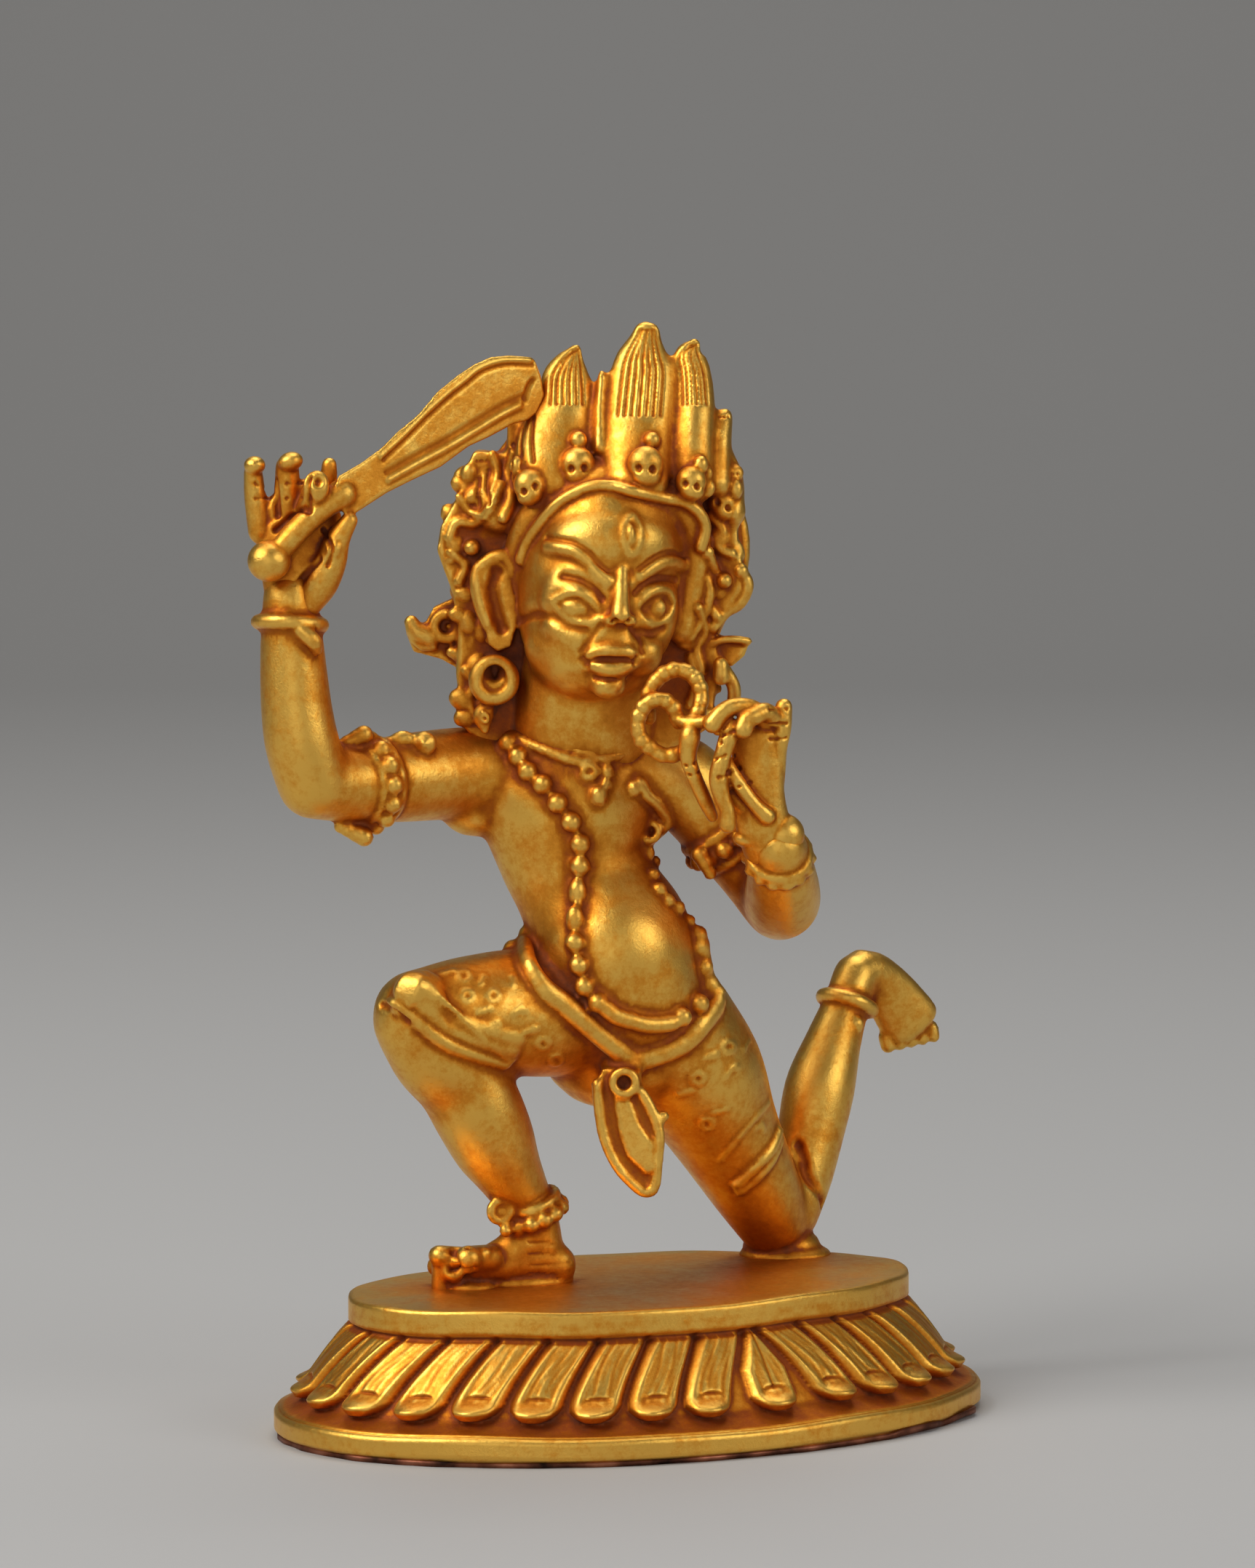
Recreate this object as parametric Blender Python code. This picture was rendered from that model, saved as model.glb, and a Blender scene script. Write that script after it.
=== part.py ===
# A small cast figure of a kneeling guardian deity on an oval lotus plinth, closed below by a thin sheet.
# Metres, +Z up. The origin is the middle of the underside, the plinth's long axis is X, its front is -Y.
import math

import bmesh
import bpy
import numpy as np
from mathutils import Euler, Matrix, Vector
from mathutils.bvhtree import BVHTree

# Plinth
TOP_LENGTH = 0.0324
TOP_WIDTH = 0.0184
FLARE = 0.00405
PLINTH_TOP = 0.0073
TOP_RIM_HEIGHT = 0.0014
FOOT_RIM_HEIGHT = 0.0012
PETAL_PITCH = 0.0031
PETAL_RELIEF = 0.0007
PETAL_INSET = 0.0009
CENTRE_PETAL = math.radians(-79.4)

# Sheet that closes the plinth
SHEET_THICKNESS = 0.0003
SHEET_LIP = 0.0003
TOUCH_GAP = 0.0003

# Figure: its carving is laid out in parts, 52.5 of them from the plinth to the tip of the hair
FIGURE_HEIGHT = 0.0525
PART = FIGURE_HEIGHT / 52.5
FIGURE_TURN = math.radians(-24.0)
BODY_GRAIN = 0.30
DETAIL_GRAIN = 0.21
FIGURE_TRIANGLES = 7100
PLINTH_TRIANGLES = 2600

HEAD_CENTRE = Vector((-1.7, -0.4, 38.2))
HEAD_TURN = Euler((math.radians(7), math.radians(6), math.radians(13)), "XYZ")


def clear_scene():
    for item in list(bpy.data.objects):
        bpy.data.objects.remove(item, do_unlink=True)


def material(name, colour, roughness, metallic):
    made = bpy.data.materials.new(name)
    made.use_nodes = True
    shader = made.node_tree.nodes["Principled BSDF"]
    shader.inputs["Base Color"].default_value = (*colour, 1.0)
    shader.inputs["Roughness"].default_value = roughness
    shader.inputs["Metallic"].default_value = metallic
    return made


# Forms: each is a small closed bmesh of its own, in the list that a skin is blended from

def smooth_path(stations, steps):
    """A Catmull-Rom curve through stations of any number of values."""
    pts = np.array(stations, float)
    ends = np.vstack([2 * pts[0] - pts[1], pts, 2 * pts[-1] - pts[-2]])
    out = []
    for i in range(len(pts) - 1):
        a, b, c, d = ends[i:i + 4]
        for k in range(steps):
            t = k / steps
            out.append(0.5 * (2 * b + (c - a) * t + (2 * a - 5 * b + 4 * c - d) * t * t
                              + (3 * b - a - 3 * c + d) * t ** 3))
    out.append(pts[-1])
    return np.array(out)


def drawn(forms, stations, side=(1, 0, 0), flat=1.0, sides=14, steps=3, cap=3):
    """A ball drawn out along a path. A station is x, y, z, half-width and, if it differs, half-depth."""
    rows = [s if len(s) == 5 else (*s, s[3] * flat) for s in stations]
    path = smooth_path(rows, steps)
    path[:, 3:] = np.maximum(path[:, 3:], 0.04)
    centres = path[:, :3]
    tangents = np.gradient(centres, axis=0)
    tangents /= np.linalg.norm(tangents, axis=1)[:, None]
    count = len(path)
    bands = 2 * cap + count - 1
    side = np.array(side, float)
    across = side - tangents * (tangents @ side)[:, None]
    across /= np.linalg.norm(across, axis=1)[:, None]
    through = np.cross(tangents, across)
    form = bmesh.new()
    bmesh.ops.create_uvsphere(form, u_segments=sides, v_segments=bands, radius=1.0)
    for vert in form.verts:
        band = round(math.acos(max(-1.0, min(1.0, vert.co.z))) * bands / math.pi)
        j = min(max(band - cap, 0), count - 1)
        over = band - cap - j
        around = math.atan2(vert.co.y, vert.co.x)
        lean = abs(over) / cap * math.pi / 2
        wide, deep = path[j, 3] * math.cos(lean), path[j, 4] * math.cos(lean)
        reach = math.copysign(min(path[j, 3], path[j, 4]) * math.sin(lean), over)
        vert.co = (centres[j] + tangents[j] * reach + across[j] * wide * math.cos(around)
                   + through[j] * deep * math.sin(around))
    forms.append(form)


def ball(forms, centre, radii, turn=(0, 0, 0), detail=2):
    if not hasattr(radii, "__len__"):
        radii = (radii, radii, radii)
    place = Matrix.LocRotScale(Vector(centre), Euler([math.radians(a) for a in turn]), Vector(radii))
    form = bmesh.new()
    bmesh.ops.create_icosphere(form, subdivisions=detail, radius=1.0, matrix=place)
    forms.append(form)


def hoop(forms, centre, axis, radius, tube, sides=8, steps=28):
    """A closed ring about an axis."""
    axis = Vector(axis).normalized()
    place = Matrix.Translation(Vector(centre)) @ axis.to_track_quat("Z", "Y").to_matrix().to_4x4()
    start = place @ Matrix.Translation((radius, 0, 0)) @ Matrix.Rotation(math.pi / 2, 4, "X")
    form = bmesh.new()
    bmesh.ops.create_circle(form, segments=sides, radius=tube, matrix=start)
    bmesh.ops.spin(form, geom=form.verts[:] + form.edges[:], cent=Vector(centre), axis=axis,
                   angle=2 * math.pi, steps=steps, use_merge=True)
    forms.append(form)


def lock(forms, stations, strands=3, side=(1, 0, 0), depth=0.8):
    """A tapering lock of hair made of strands that meet at its tip. A station is x, y, z, half-width."""
    for k in range(strands):
        share = 0.0 if strands == 1 else 2.0 * k / (strands - 1) - 1.0
        rows = []
        for x, y, z, wide in stations:
            shift = share * wide * (1 - 0.9 / strands)
            rows.append((x + side[0] * shift, y + side[1] * shift, z + side[2] * shift,
                         max(wide / strands * 1.25, 0.16), max(wide * 0.5 * depth, 0.24)))
        drawn(forms, rows, side=side, sides=10)


def beads(forms, points, radius, pitch, detail=1):
    """Balls at an equal pitch along a curve through the points."""
    path = smooth_path(points, 12)
    lengths = np.concatenate([[0], np.cumsum(np.linalg.norm(np.diff(path, axis=0), axis=1))])
    count = max(2, round(lengths[-1] / pitch) + 1)
    for along in np.linspace(0, lengths[-1], count):
        place = [np.interp(along, lengths, path[:, k]) for k in range(3)]
        ball(forms, place, radius, detail=detail)


def cord(forms, points, radius, sides=8, steps=5):
    drawn(forms, [(*p, radius) for p in points], side=(0.31, 0.17, 0.93), sides=sides, steps=steps, cap=2)


def laid_on(tree, points, lift=0.0):
    """Carries points given as x, z from the front onto the surface behind them."""
    out = []
    for x, z in points:
        hit, normal, _, _ = tree.ray_cast(Vector((x, -40, z + 40 * math.tan(math.radians(4.7)))),
                                          Vector((0, 1, -math.tan(math.radians(4.7)))).normalized())
        if hit is None:
            hit, normal, _, _ = tree.find_nearest(Vector((x, 0, z)))
        out.append(tuple(hit + normal * lift))
    return out


def blended(forms, grain, smoothing, rounds):
    """Melts overlapping forms into one skin."""
    heap = bmesh.new()
    for form in forms:
        one = bpy.data.meshes.new("form")
        form.to_mesh(one)
        form.free()
        heap.from_mesh(one)
        bpy.data.meshes.remove(one)
    mesh = bpy.data.meshes.new("blend")
    heap.to_mesh(mesh)
    heap.free()
    guide = bpy.data.objects.new("blend", mesh)
    bpy.context.collection.objects.link(guide)
    remesh = guide.modifiers.new("Skin", "REMESH")
    remesh.mode = "VOXEL"
    remesh.voxel_size = grain
    graph = bpy.context.evaluated_depsgraph_get()
    out = bmesh.new()
    out.from_object(guide, graph)
    bpy.data.objects.remove(guide, do_unlink=True)
    bpy.data.meshes.remove(mesh)
    for _ in range(rounds):
        bmesh.ops.smooth_vert(out, verts=out.verts, factor=smoothing,
                              use_axis_x=True, use_axis_y=True, use_axis_z=True)
    return out


def carve(bm, strokes):
    """Pushes the skin in (depth below zero) or out along lines. A stroke is points, half-width, depth."""
    places = np.array([v.co for v in bm.verts])
    normals = np.array([v.normal for v in bm.verts])
    move = np.zeros(len(places))
    for points, half_width, depth in strokes:
        path = smooth_path(points, 6)
        near = np.full(len(places), np.inf)
        for a, b in zip(path[:-1], path[1:]):
            run = b - a
            t = np.clip((places - a) @ run / max(run @ run, 1e-9), 0, 1)
            near = np.minimum(near, np.linalg.norm(places - a - t[:, None] * run, axis=1))
        inside = near < half_width
        move[inside] += depth * np.cos(near[inside] / half_width * math.pi / 2) ** 2
    for vert, shift, normal in zip(bm.verts, move, normals):
        if shift:
            vert.co += Vector(normal * shift)
    bm.normal_update()


def keep_largest(bm):
    """Drops specks that the skin closed off from the main body."""
    left = set(bm.verts)
    groups = []
    while left:
        seed = left.pop()
        group = {seed}
        edge = [seed]
        while edge:
            vert = edge.pop()
            for link in vert.link_edges:
                other = link.other_vert(vert)
                if other in left:
                    left.discard(other)
                    group.add(other)
                    edge.append(other)
        groups.append(group)
    groups.sort(key=len)
    for group in groups[:-1]:
        bmesh.ops.delete(bm, geom=list(group), context="VERTS")


def finished(name, bm, place, triangles, finish):
    """Makes the object, thins it to its number of triangles and gives it its finish."""
    bmesh.ops.triangulate(bm, faces=bm.faces)
    share = min(1.0, triangles / len(bm.faces))
    mesh = bpy.data.meshes.new(name)
    bm.to_mesh(mesh)
    bm.free()
    mesh.transform(place)
    thing = bpy.data.objects.new(name, mesh)
    bpy.context.collection.objects.link(thing)
    thing.data.materials.append(finish)
    if share < 1.0:
        thin = thing.modifiers.new("Thin", "DECIMATE")
        thin.ratio = share
    mesh.shade_smooth()
    mesh.set_sharp_from_angle(angle=math.radians(40))
    return thing


# Figure

def trunk(forms):
    drawn(forms, [(-0.6, 1.8, 12.4, 4.6, 3.8), (-0.7, 1.4, 14.8, 5.5, 4.5), (-0.4, 0.5, 17.2, 5.1, 4.6),
               (-0.6, 0.3, 19.4, 4.7, 4.3), (-2.1, 0.8, 21.9, 3.8, 3.4), (-2.8, 1.1, 23.8, 4.6, 3.4),
               (-3.3, 1.2, 26.2, 5.4, 3.7), (-3.4, 1.3, 28.0, 5.8, 3.4), (-3.3, 1.3, 29.6, 4.2, 2.7),
               (-3.0, 1.2, 30.8, 2.3, 2.1)], sides=24)
    ball(forms, (0.5, -1.0, 17.6), (3.7, 3.4, 3.7), detail=3)
    ball(forms, (-5.7, -0.2, 27.2), (2.8, 1.8, 2.3), detail=3)
    ball(forms, (-1.0, -0.2, 27.1), (2.7, 1.8, 2.3), detail=3)
    ball(forms, (-0.9, 4.2, 14.2), (4.6, 2.6, 3.0), detail=3)
    drawn(forms, [(-2.7, 0.9, 29.6, 2.4), (-2.4, 0.5, 31.6, 2.1), (-1.9, 0.2, 34.0, 2.2)])


def raised_arm(forms):
    drawn(forms, [(-6.6, 1.2, 27.8, 2.5), (-9.2, 0.5, 27.9, 2.55), (-12.3, -1.7, 27.7, 2.35),
               (-15.0, -4.0, 27.4, 2.1), (-16.9, -5.7, 27.3, 2.05)], side=(0, 0, 1), sides=20)
    drawn(forms, [(-16.9, -5.8, 27.2, 2.05), (-17.6, -6.2, 29.2, 2.15), (-17.8, -6.3, 32.0, 2.0),
               (-18.0, -6.4, 35.2, 1.65), (-18.1, -6.5, 38.0, 1.5)], sides=20)


def bent_arm(forms):
    drawn(forms, [(0.4, 1.3, 28.0, 2.4), (2.6, 1.5, 27.5, 2.5), (4.8, 2.0, 25.2, 2.35),
               (6.7, 2.6, 22.6, 2.15), (7.9, 2.9, 20.8, 2.0)], sides=20)
    drawn(forms, [(8.0, 2.8, 20.6, 2.0), (8.2, 0.6, 21.2, 2.15), (8.1, -1.9, 22.6, 1.9),
               (7.9, -4.2, 24.4, 1.5)], sides=20)


def front_leg(forms):
    drawn(forms, [(-2.4, 1.5, 14.2, 4.2), (-5.6, -0.9, 14.8, 3.7), (-9.0, -3.2, 15.1, 3.2),
               (-11.6, -4.8, 15.3, 2.6)], side=(0, 0, 1), sides=22)
    drawn(forms, [(-11.6, -4.8, 15.0, 2.55), (-10.9, -4.2, 13.2, 2.6), (-9.4, -3.3, 11.0, 2.55),
               (-8.0, -2.4, 8.4, 2.3), (-6.8, -1.6, 6.1, 1.95), (-5.9, -1.0, 4.4, 1.6),
               (-5.2, -0.7, 2.8, 1.5)], sides=20)


def kneeling_leg(forms):
    drawn(forms, [(1.4, 2.4, 13.8, 4.2), (3.5, 4.1, 10.9, 3.9), (5.3, 6.0, 7.6, 3.15), (6.9, 7.8, 4.5, 2.55),
               (8.0, 8.9, 2.5, 2.2)], sides=22)
    drawn(forms, [(8.5, 9.5, 2.9, 2.0), (9.8, 10.7, 6.2, 2.15), (10.8, 11.7, 9.2, 1.9),
               (11.7, 12.8, 12.0, 1.45), (12.4, 13.6, 14.2, 1.3)], sides=18)


def feet(forms):
    drawn(forms, [(-4.2, -0.1, 1.5, 1.45), (-6.2, -0.9, 1.55, 1.35), (-8.2, -1.8, 1.15, 1.6, 1.1),
               (-9.4, -2.3, 0.85, 1.6, 0.8)], side=(0.37, -0.93, 0), sides=16)
    for k in range(5):
        share = k / 4
        start = Vector((-9.2, -3.5, 0.75)).lerp(Vector((-9.5, -1.0, 0.65)), share)
        reach = 1.75 - 0.75 * share
        size = 0.62 - 0.2 * share
        drawn(forms, [(*start, size), (start.x - reach * 0.93, start.y - reach * 0.2, size + 0.02, size)],
              side=(0, 0, 1), sides=10)
    drawn(forms, [(12.5, 14.4, 15.4, 1.4), (13.7, 15.6, 14.4, 1.3, 1.1), (15.1, 17.0, 12.6, 1.5, 0.95),
               (15.9, 17.9, 11.4, 1.4, 0.6)], side=(0.5, -0.85, 0.1), sides=16)
    for k in range(5):
        share = k / 4
        start = Vector((15.4, 19.1, 11.3)).lerp(Vector((16.5, 16.9, 11.6)), share)
        reach = 1.3 - 0.5 * share
        size = 0.55 - 0.17 * share
        drawn(forms, [(*start, size), (start.x + 0.45 * reach, start.y + 0.3 * reach, start.z - reach, size)],
              side=(0, 1, 0), sides=10)


def solder_mounds(forms):
    """The lumps that hold the knee and the sole to the plinth."""
    ball(forms, (8.6, 9.3, 0.9), (2.2, 1.7, 0.95), detail=3)
    ball(forms, (-5.4, -0.9, 0.45), (2.8, 1.2, 0.5), turn=(0, 0, 22), detail=3)
    ball(forms, (-9.0, -2.3, 0.4), (1.5, 1.1, 0.45), detail=2)


def sword_hand(forms):
    """The fist that grips the hilt, with the fingers up over it."""
    ball(forms, (-17.6, -6.4, 40.6), (2.1, 1.25, 2.3), detail=3)
    ball(forms, (-16.0, -7.0, 40.8), (1.0, 0.9, 1.4))
    for x, top, size in ((-19.8, 44.5, 0.62), (-18.7, 45.0, 0.66), (-17.6, 45.0, 0.7)):
        drawn(forms, [(x + 0.3, -6.2, 41.4, size), (x, -6.6, 43.2, size), (x + 0.1, -7.3, top, size)], sides=10)
    drawn(forms, [(-16.8, -6.4, 43.0, 0.6), (-16.3, -6.5, 44.6, 0.45)], sides=10)
    drawn(forms, [(-17.0, -7.0, 42.0, 0.65), (-16.9, -8.1, 43.0, 0.65), (-17.0, -8.3, 43.9, 0.65)], sides=10)
    drawn(forms, [(-17.2, -7.2, 39.0, 0.6), (-16.0, -7.8, 40.6, 0.55), (-15.2, -7.8, 42.1, 0.5)], sides=10)


def sword(forms):
    ball(forms, (-19.4, -8.2, 39.4), 1.15, detail=3)
    drawn(forms, [(-19.1, -8.2, 39.9, 0.6), (-17.0, -8.0, 41.7, 0.62), (-14.9, -7.7, 43.3, 0.62)], sides=10)
    drawn(forms, [(-15.4, -7.8, 42.9, 0.8, 0.5), (-13.8, -7.2, 44.0, 1.0, 0.55), (-11.9, -6.0, 45.4, 1.3, 0.5),
               (-9.4, -4.4, 47.0, 1.75, 0.5), (-6.9, -2.6, 48.1, 1.5, 0.5), (-5.4, -1.3, 48.6, 0.95, 0.5),
               (-4.4, -0.4, 48.8, 0.5, 0.5)], side=(-0.5, 0, 0.87), sides=8)


def rope_hand(forms):
    """The hand that holds the rope before the shoulder, one finger raised."""
    ball(forms, (6.5, -5.2, 28.0), (1.9, 1.0, 2.2), detail=3)
    ball(forms, (7.9, -4.9, 25.5), (0.95, 0.95, 0.95))
    drawn(forms, [(7.5, -5.4, 27.0, 0.5), (7.7, -5.8, 29.3, 0.44), (8.1, -6.2, 30.8, 0.42),
               (8.2, -6.3, 31.9, 0.4)], sides=10)
    drawn(forms, [(6.6, -5.6, 29.2, 0.5), (6.4, -6.4, 31.0, 0.44), (5.6, -7.0, 31.2, 0.42),
               (4.6, -6.8, 30.7, 0.42)], sides=10)
    drawn(forms, [(7.4, -5.6, 29.0, 0.5), (7.2, -6.6, 30.6, 0.46), (6.3, -7.2, 30.4, 0.45)], sides=10)
    drawn(forms, [(5.6, -5.4, 26.8, 0.6), (4.2, -5.6, 27.8, 0.6), (3.3, -5.9, 29.6, 0.55)], sides=10)


def rope(forms):
    """Two loops over the fingers and three hanging strands."""
    cord(forms, [(0.9, -4.4, 32.0), (1.3, -4.9, 32.8), (2.4, -5.2, 33.2), (3.3, -5.4, 32.8), (3.6, -5.6, 32.0),
              (3.5, -5.8, 31.0), (3.2, -5.9, 29.8)], 0.48)
    hoop(forms, (1.6, -4.9, 30.3), (0.2, -1, 0.1), 1.02, 0.42)
    cord(forms, [(0.9, -4.4, 32.0), (1.3, -4.7, 31.2)], 0.45)
    cord(forms, [(2.5, -5.2, 30.2), (3.2, -5.7, 29.8)], 0.5)
    cord(forms, [(3.1, -5.8, 29.8), (3.3, -5.6, 28.3), (3.7, -5.0, 27.0), (4.4, -4.0, 25.7)], 0.52)
    cord(forms, [(5.2, -6.5, 30.2), (4.7, -6.6, 28.3), (4.7, -6.4, 27.2), (5.2, -6.0, 25.9),
              (5.3, -5.8, 25.0)], 0.46)
    cord(forms, [(5.5, -6.3, 28.2), (6.1, -6.3, 26.8), (6.9, -6.0, 25.8), (7.5, -5.4, 25.2)], 0.42)


def skull(forms, centre, size, turn=0.0):
    """One of the small skulls of the crown."""
    x, y, z = centre
    ball(forms, centre, (size, size * 0.8, size * 1.02), turn=(0, turn, 0), detail=3)
    ball(forms, (x, y - size * 0.15, z - size * 0.85), (size * 0.62, size * 0.6, size * 0.5), detail=2)


def head(forms):
    """The face looks along -Y in its own frame, and is then bowed and turned."""
    face = []
    ball(face, (0, 0.3, 0.9), (4.75, 4.9, 4.8), detail=4)
    ball(face, (0, -1.5, 2.0), (4.4, 3.7, 3.1), detail=3)
    drawn(face, [(0, -1.2, 0.0, 4.5, 3.8), (0, -1.5, -2.2, 4.3, 3.7), (0, -2.0, -4.0, 3.4, 3.0),
                 (0, -2.4, -5.0, 2.1, 2.0)], sides=24)
    for s in (-1, 1):
        ball(face, (2.5 * s, -2.9, -2.4), (1.9, 1.6, 1.8), detail=3)
        ball(face, (2.05 * s, -4.45, -0.35), (1.2, 0.75, 0.85), detail=3)
        drawn(face, [(0.5 * s, -5.3, 0.9, 0.45), (1.7 * s, -5.1, 1.4, 0.5), (3.0 * s, -4.2, 1.9, 0.42),
                     (3.7 * s, -3.4, 1.3, 0.3)], side=(0, 0, 1), sides=10)
        ball(face, (0.62 * s, -5.5, -1.5), (0.5, 0.55, 0.42), detail=2)
    drawn(face, [(0, -5.0, 1.0, 0.5), (0, -5.5, -0.2, 0.52), (0, -6.1, -1.3, 0.68)], sides=12)
    drawn(face, [(-1.5, -4.7, -3.1, 0.3), (-0.7, -5.2, -2.75, 0.4), (0, -5.3, -2.8, 0.4), (0.7, -5.2, -2.75, 0.4),
                 (1.5, -4.7, -3.1, 0.3)], side=(0, 0, 1), sides=10)
    drawn(face, [(-1.2, -4.6, -3.5, 0.3), (0, -5.2, -3.75, 0.45), (1.2, -4.6, -3.5, 0.3)], side=(0, 0, 1), sides=10)
    ball(face, (0, -4.3, -4.9), (1.15, 0.95, 0.8), detail=3)
    ball(face, (0.15, -4.75, 3.1), (0.36, 0.45, 0.7), detail=2)
    place = Matrix.LocRotScale(HEAD_CENTRE, HEAD_TURN, None)
    for form in face:
        bmesh.ops.transform(form, matrix=place, verts=form.verts)
    forms.extend(face)


def ears_and_jewels(forms):
    drawn(forms, [(-7.0, 0.2, 39.6, 0.8), (-7.4, 0.1, 37.8, 0.9), (-7.1, 0.0, 35.8, 0.7), (-6.8, -0.3, 34.6, 0.55)],
          flat=0.6, sides=12)
    hoop(forms, (-7.2, -0.8, 33.2), (0.1, -1, 0), 0.95, 0.42)
    ball(forms, (-7.2, -0.8, 33.2), 0.34)
    ball(forms, (-8.4, 0.0, 39.9), (0.5, 0.5, 0.5))
    hoop(forms, (-9.9, 0.5, 35.8), (0, -1, 0), 0.75, 0.38)
    drawn(forms, [(-9.0, 0.8, 36.2, 0.8), (-10.4, 0.7, 35.9, 1.0), (-11.8, 0.6, 35.6, 0.4)], side=(0, 0, 1),
          flat=0.5, sides=10)
    drawn(forms, [(-8.8, 0.8, 35.2, 0.7), (-9.8, 0.7, 34.6, 0.6), (-10.2, 0.5, 33.9, 0.35)], side=(0, 0, 1),
          flat=0.6, sides=10)
    drawn(forms, [(3.4, 0.2, 37.6, 0.7), (3.4, 0.0, 35.8, 0.65), (2.9, -0.2, 34.6, 0.5)], flat=0.6, sides=12)
    drawn(forms, [(3.6, 0.8, 35.6, 0.7), (5.0, 0.7, 34.9, 0.9), (6.3, 0.5, 35.0, 0.35)], side=(0, 0, 1),
          flat=0.5, sides=10)
    ball(forms, (4.7, -0.3, 33.5), 0.5)
    cord(forms, [(4.7, -0.2, 33.3), (5.1, -0.1, 32.4), (4.9, 0.3, 31.0)], 0.4)


def crown(forms):
    """The band over the forehead, its five skulls, and a bead above each of the middle ones."""
    cord(forms, [(-5.9, -2.4, 40.0), (-5.2, -3.7, 41.6), (-3.6, -4.7, 42.8), (-0.8, -5.3, 43.1), (1.6, -4.9, 42.7),
              (3.2, -3.9, 41.8), (3.9, -2.6, 40.6), (3.5, -1.8, 39.2)], 0.5)
    for place, size, turn in (((-5.4, -3.5, 43.3), 0.85, -18), ((-2.9, -4.7, 44.4), 0.88, -6),
                              ((0.7, -5.0, 44.4), 0.9, 4), ((3.1, -4.0, 43.4), 0.85, 14), ((4.9, -2.2, 42.3), 0.8, 30)):
        skull(forms, place, size, turn)
    for place in ((-6.0, -3.1, 44.5), (-2.9, -4.5, 45.9), (1.0, -4.8, 45.9)):
        ball(forms, place, 0.42)


def hair(forms):
    """Hair that stands up like flame over the crown and falls behind the shoulders."""
    ball(forms, (-1.5, 1.7, 40.8), (6.0, 4.6, 5.6), detail=4)
    lock(forms, [(-6.6, 1.2, 43.6, 1.9), (-8.0, 1.2, 41.0, 2.2), (-8.1, 1.4, 37.6, 1.9), (-8.2, 1.6, 34.4, 1.7),
              (-7.9, 1.5, 32.2, 1.6), (-8.3, 1.3, 30.6, 1.0)], strands=4, depth=2.0)
    lock(forms, [(4.0, 1.3, 42.4, 1.7), (4.7, 1.5, 39.4, 1.8), (4.1, 1.7, 36.2, 1.6), (3.2, 1.7, 33.6, 1.5),
              (2.9, 1.6, 31.0, 1.2)], strands=4, depth=2.0)
    hoop(forms, (-9.0, 0.2, 41.2), (0.2, -1, 0.1), 0.8, 0.4)
    hoop(forms, (-8.9, 0.3, 38.2), (0.2, -1, 0), 0.7, 0.4)
    lock(forms, [(0.4, -1.8, 44.2, 2.0), (0.6, -0.8, 47.0, 1.75), (0.5, 0.0, 49.4, 1.4), (0.9, 0.6, 51.2, 0.8),
              (1.2, 0.9, 52.2, 0.25)], strands=5)
    lock(forms, [(-4.2, -1.4, 44.8, 2.1), (-3.9, -0.8, 47.2, 1.9), (-3.5, -0.2, 49.2, 1.3), (-3.0, 0.3, 50.9, 0.3)],
         strands=5)
    lock(forms, [(3.1, -1.0, 44.6, 1.4), (3.5, -0.4, 47.0, 1.25), (3.2, 0.2, 49.3, 0.9), (3.35, 0.6, 51.0, 0.28)],
         strands=4)
    lock(forms, [(4.4, -0.3, 43.6, 1.1), (4.8, 0.2, 45.8, 0.85), (5.0, 0.6, 47.4, 0.35)], strands=3)
    lock(forms, [(5.1, 0.4, 40.9, 1.0), (5.6, 0.7, 42.7, 0.8), (5.6, 1.0, 44.2, 0.35)], strands=3)
    lock(forms, [(-6.6, -0.8, 42.0, 1.4), (-7.7, -0.3, 44.0, 1.2), (-8.3, 0.2, 45.5, 0.35)], strands=3)
    lock(forms, [(-8.4, 0.3, 38.8, 1.3), (-9.5, 0.5, 40.0, 1.0), (-10.3, 0.8, 40.8, 0.3)], strands=3,
         side=(0.5, 0, -0.87))
    for x, z in ((5.9, 38.8), (6.0, 37.4)):
        hoop(forms, (x - 0.6, 0.2, z), (0, -1, 0), 0.55, 0.3)
    # The back is combed up from the nape to the crest
    strands = 11
    for k in range(strands):
        turn = math.radians(-75 + 150 * k / (strands - 1))
        rows = []
        for z, out in ((32.0, 3.0), (35.5, 4.6), (39.0, 5.6), (42.5, 5.4), (45.5, 3.8), (48.0, 1.8)):
            rows.append((-1.5 + 1.25 * out * math.sin(turn), 1.2 + out * math.cos(turn) * 0.95, z, 0.75))
        drawn(forms, rows, sides=10)


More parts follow.
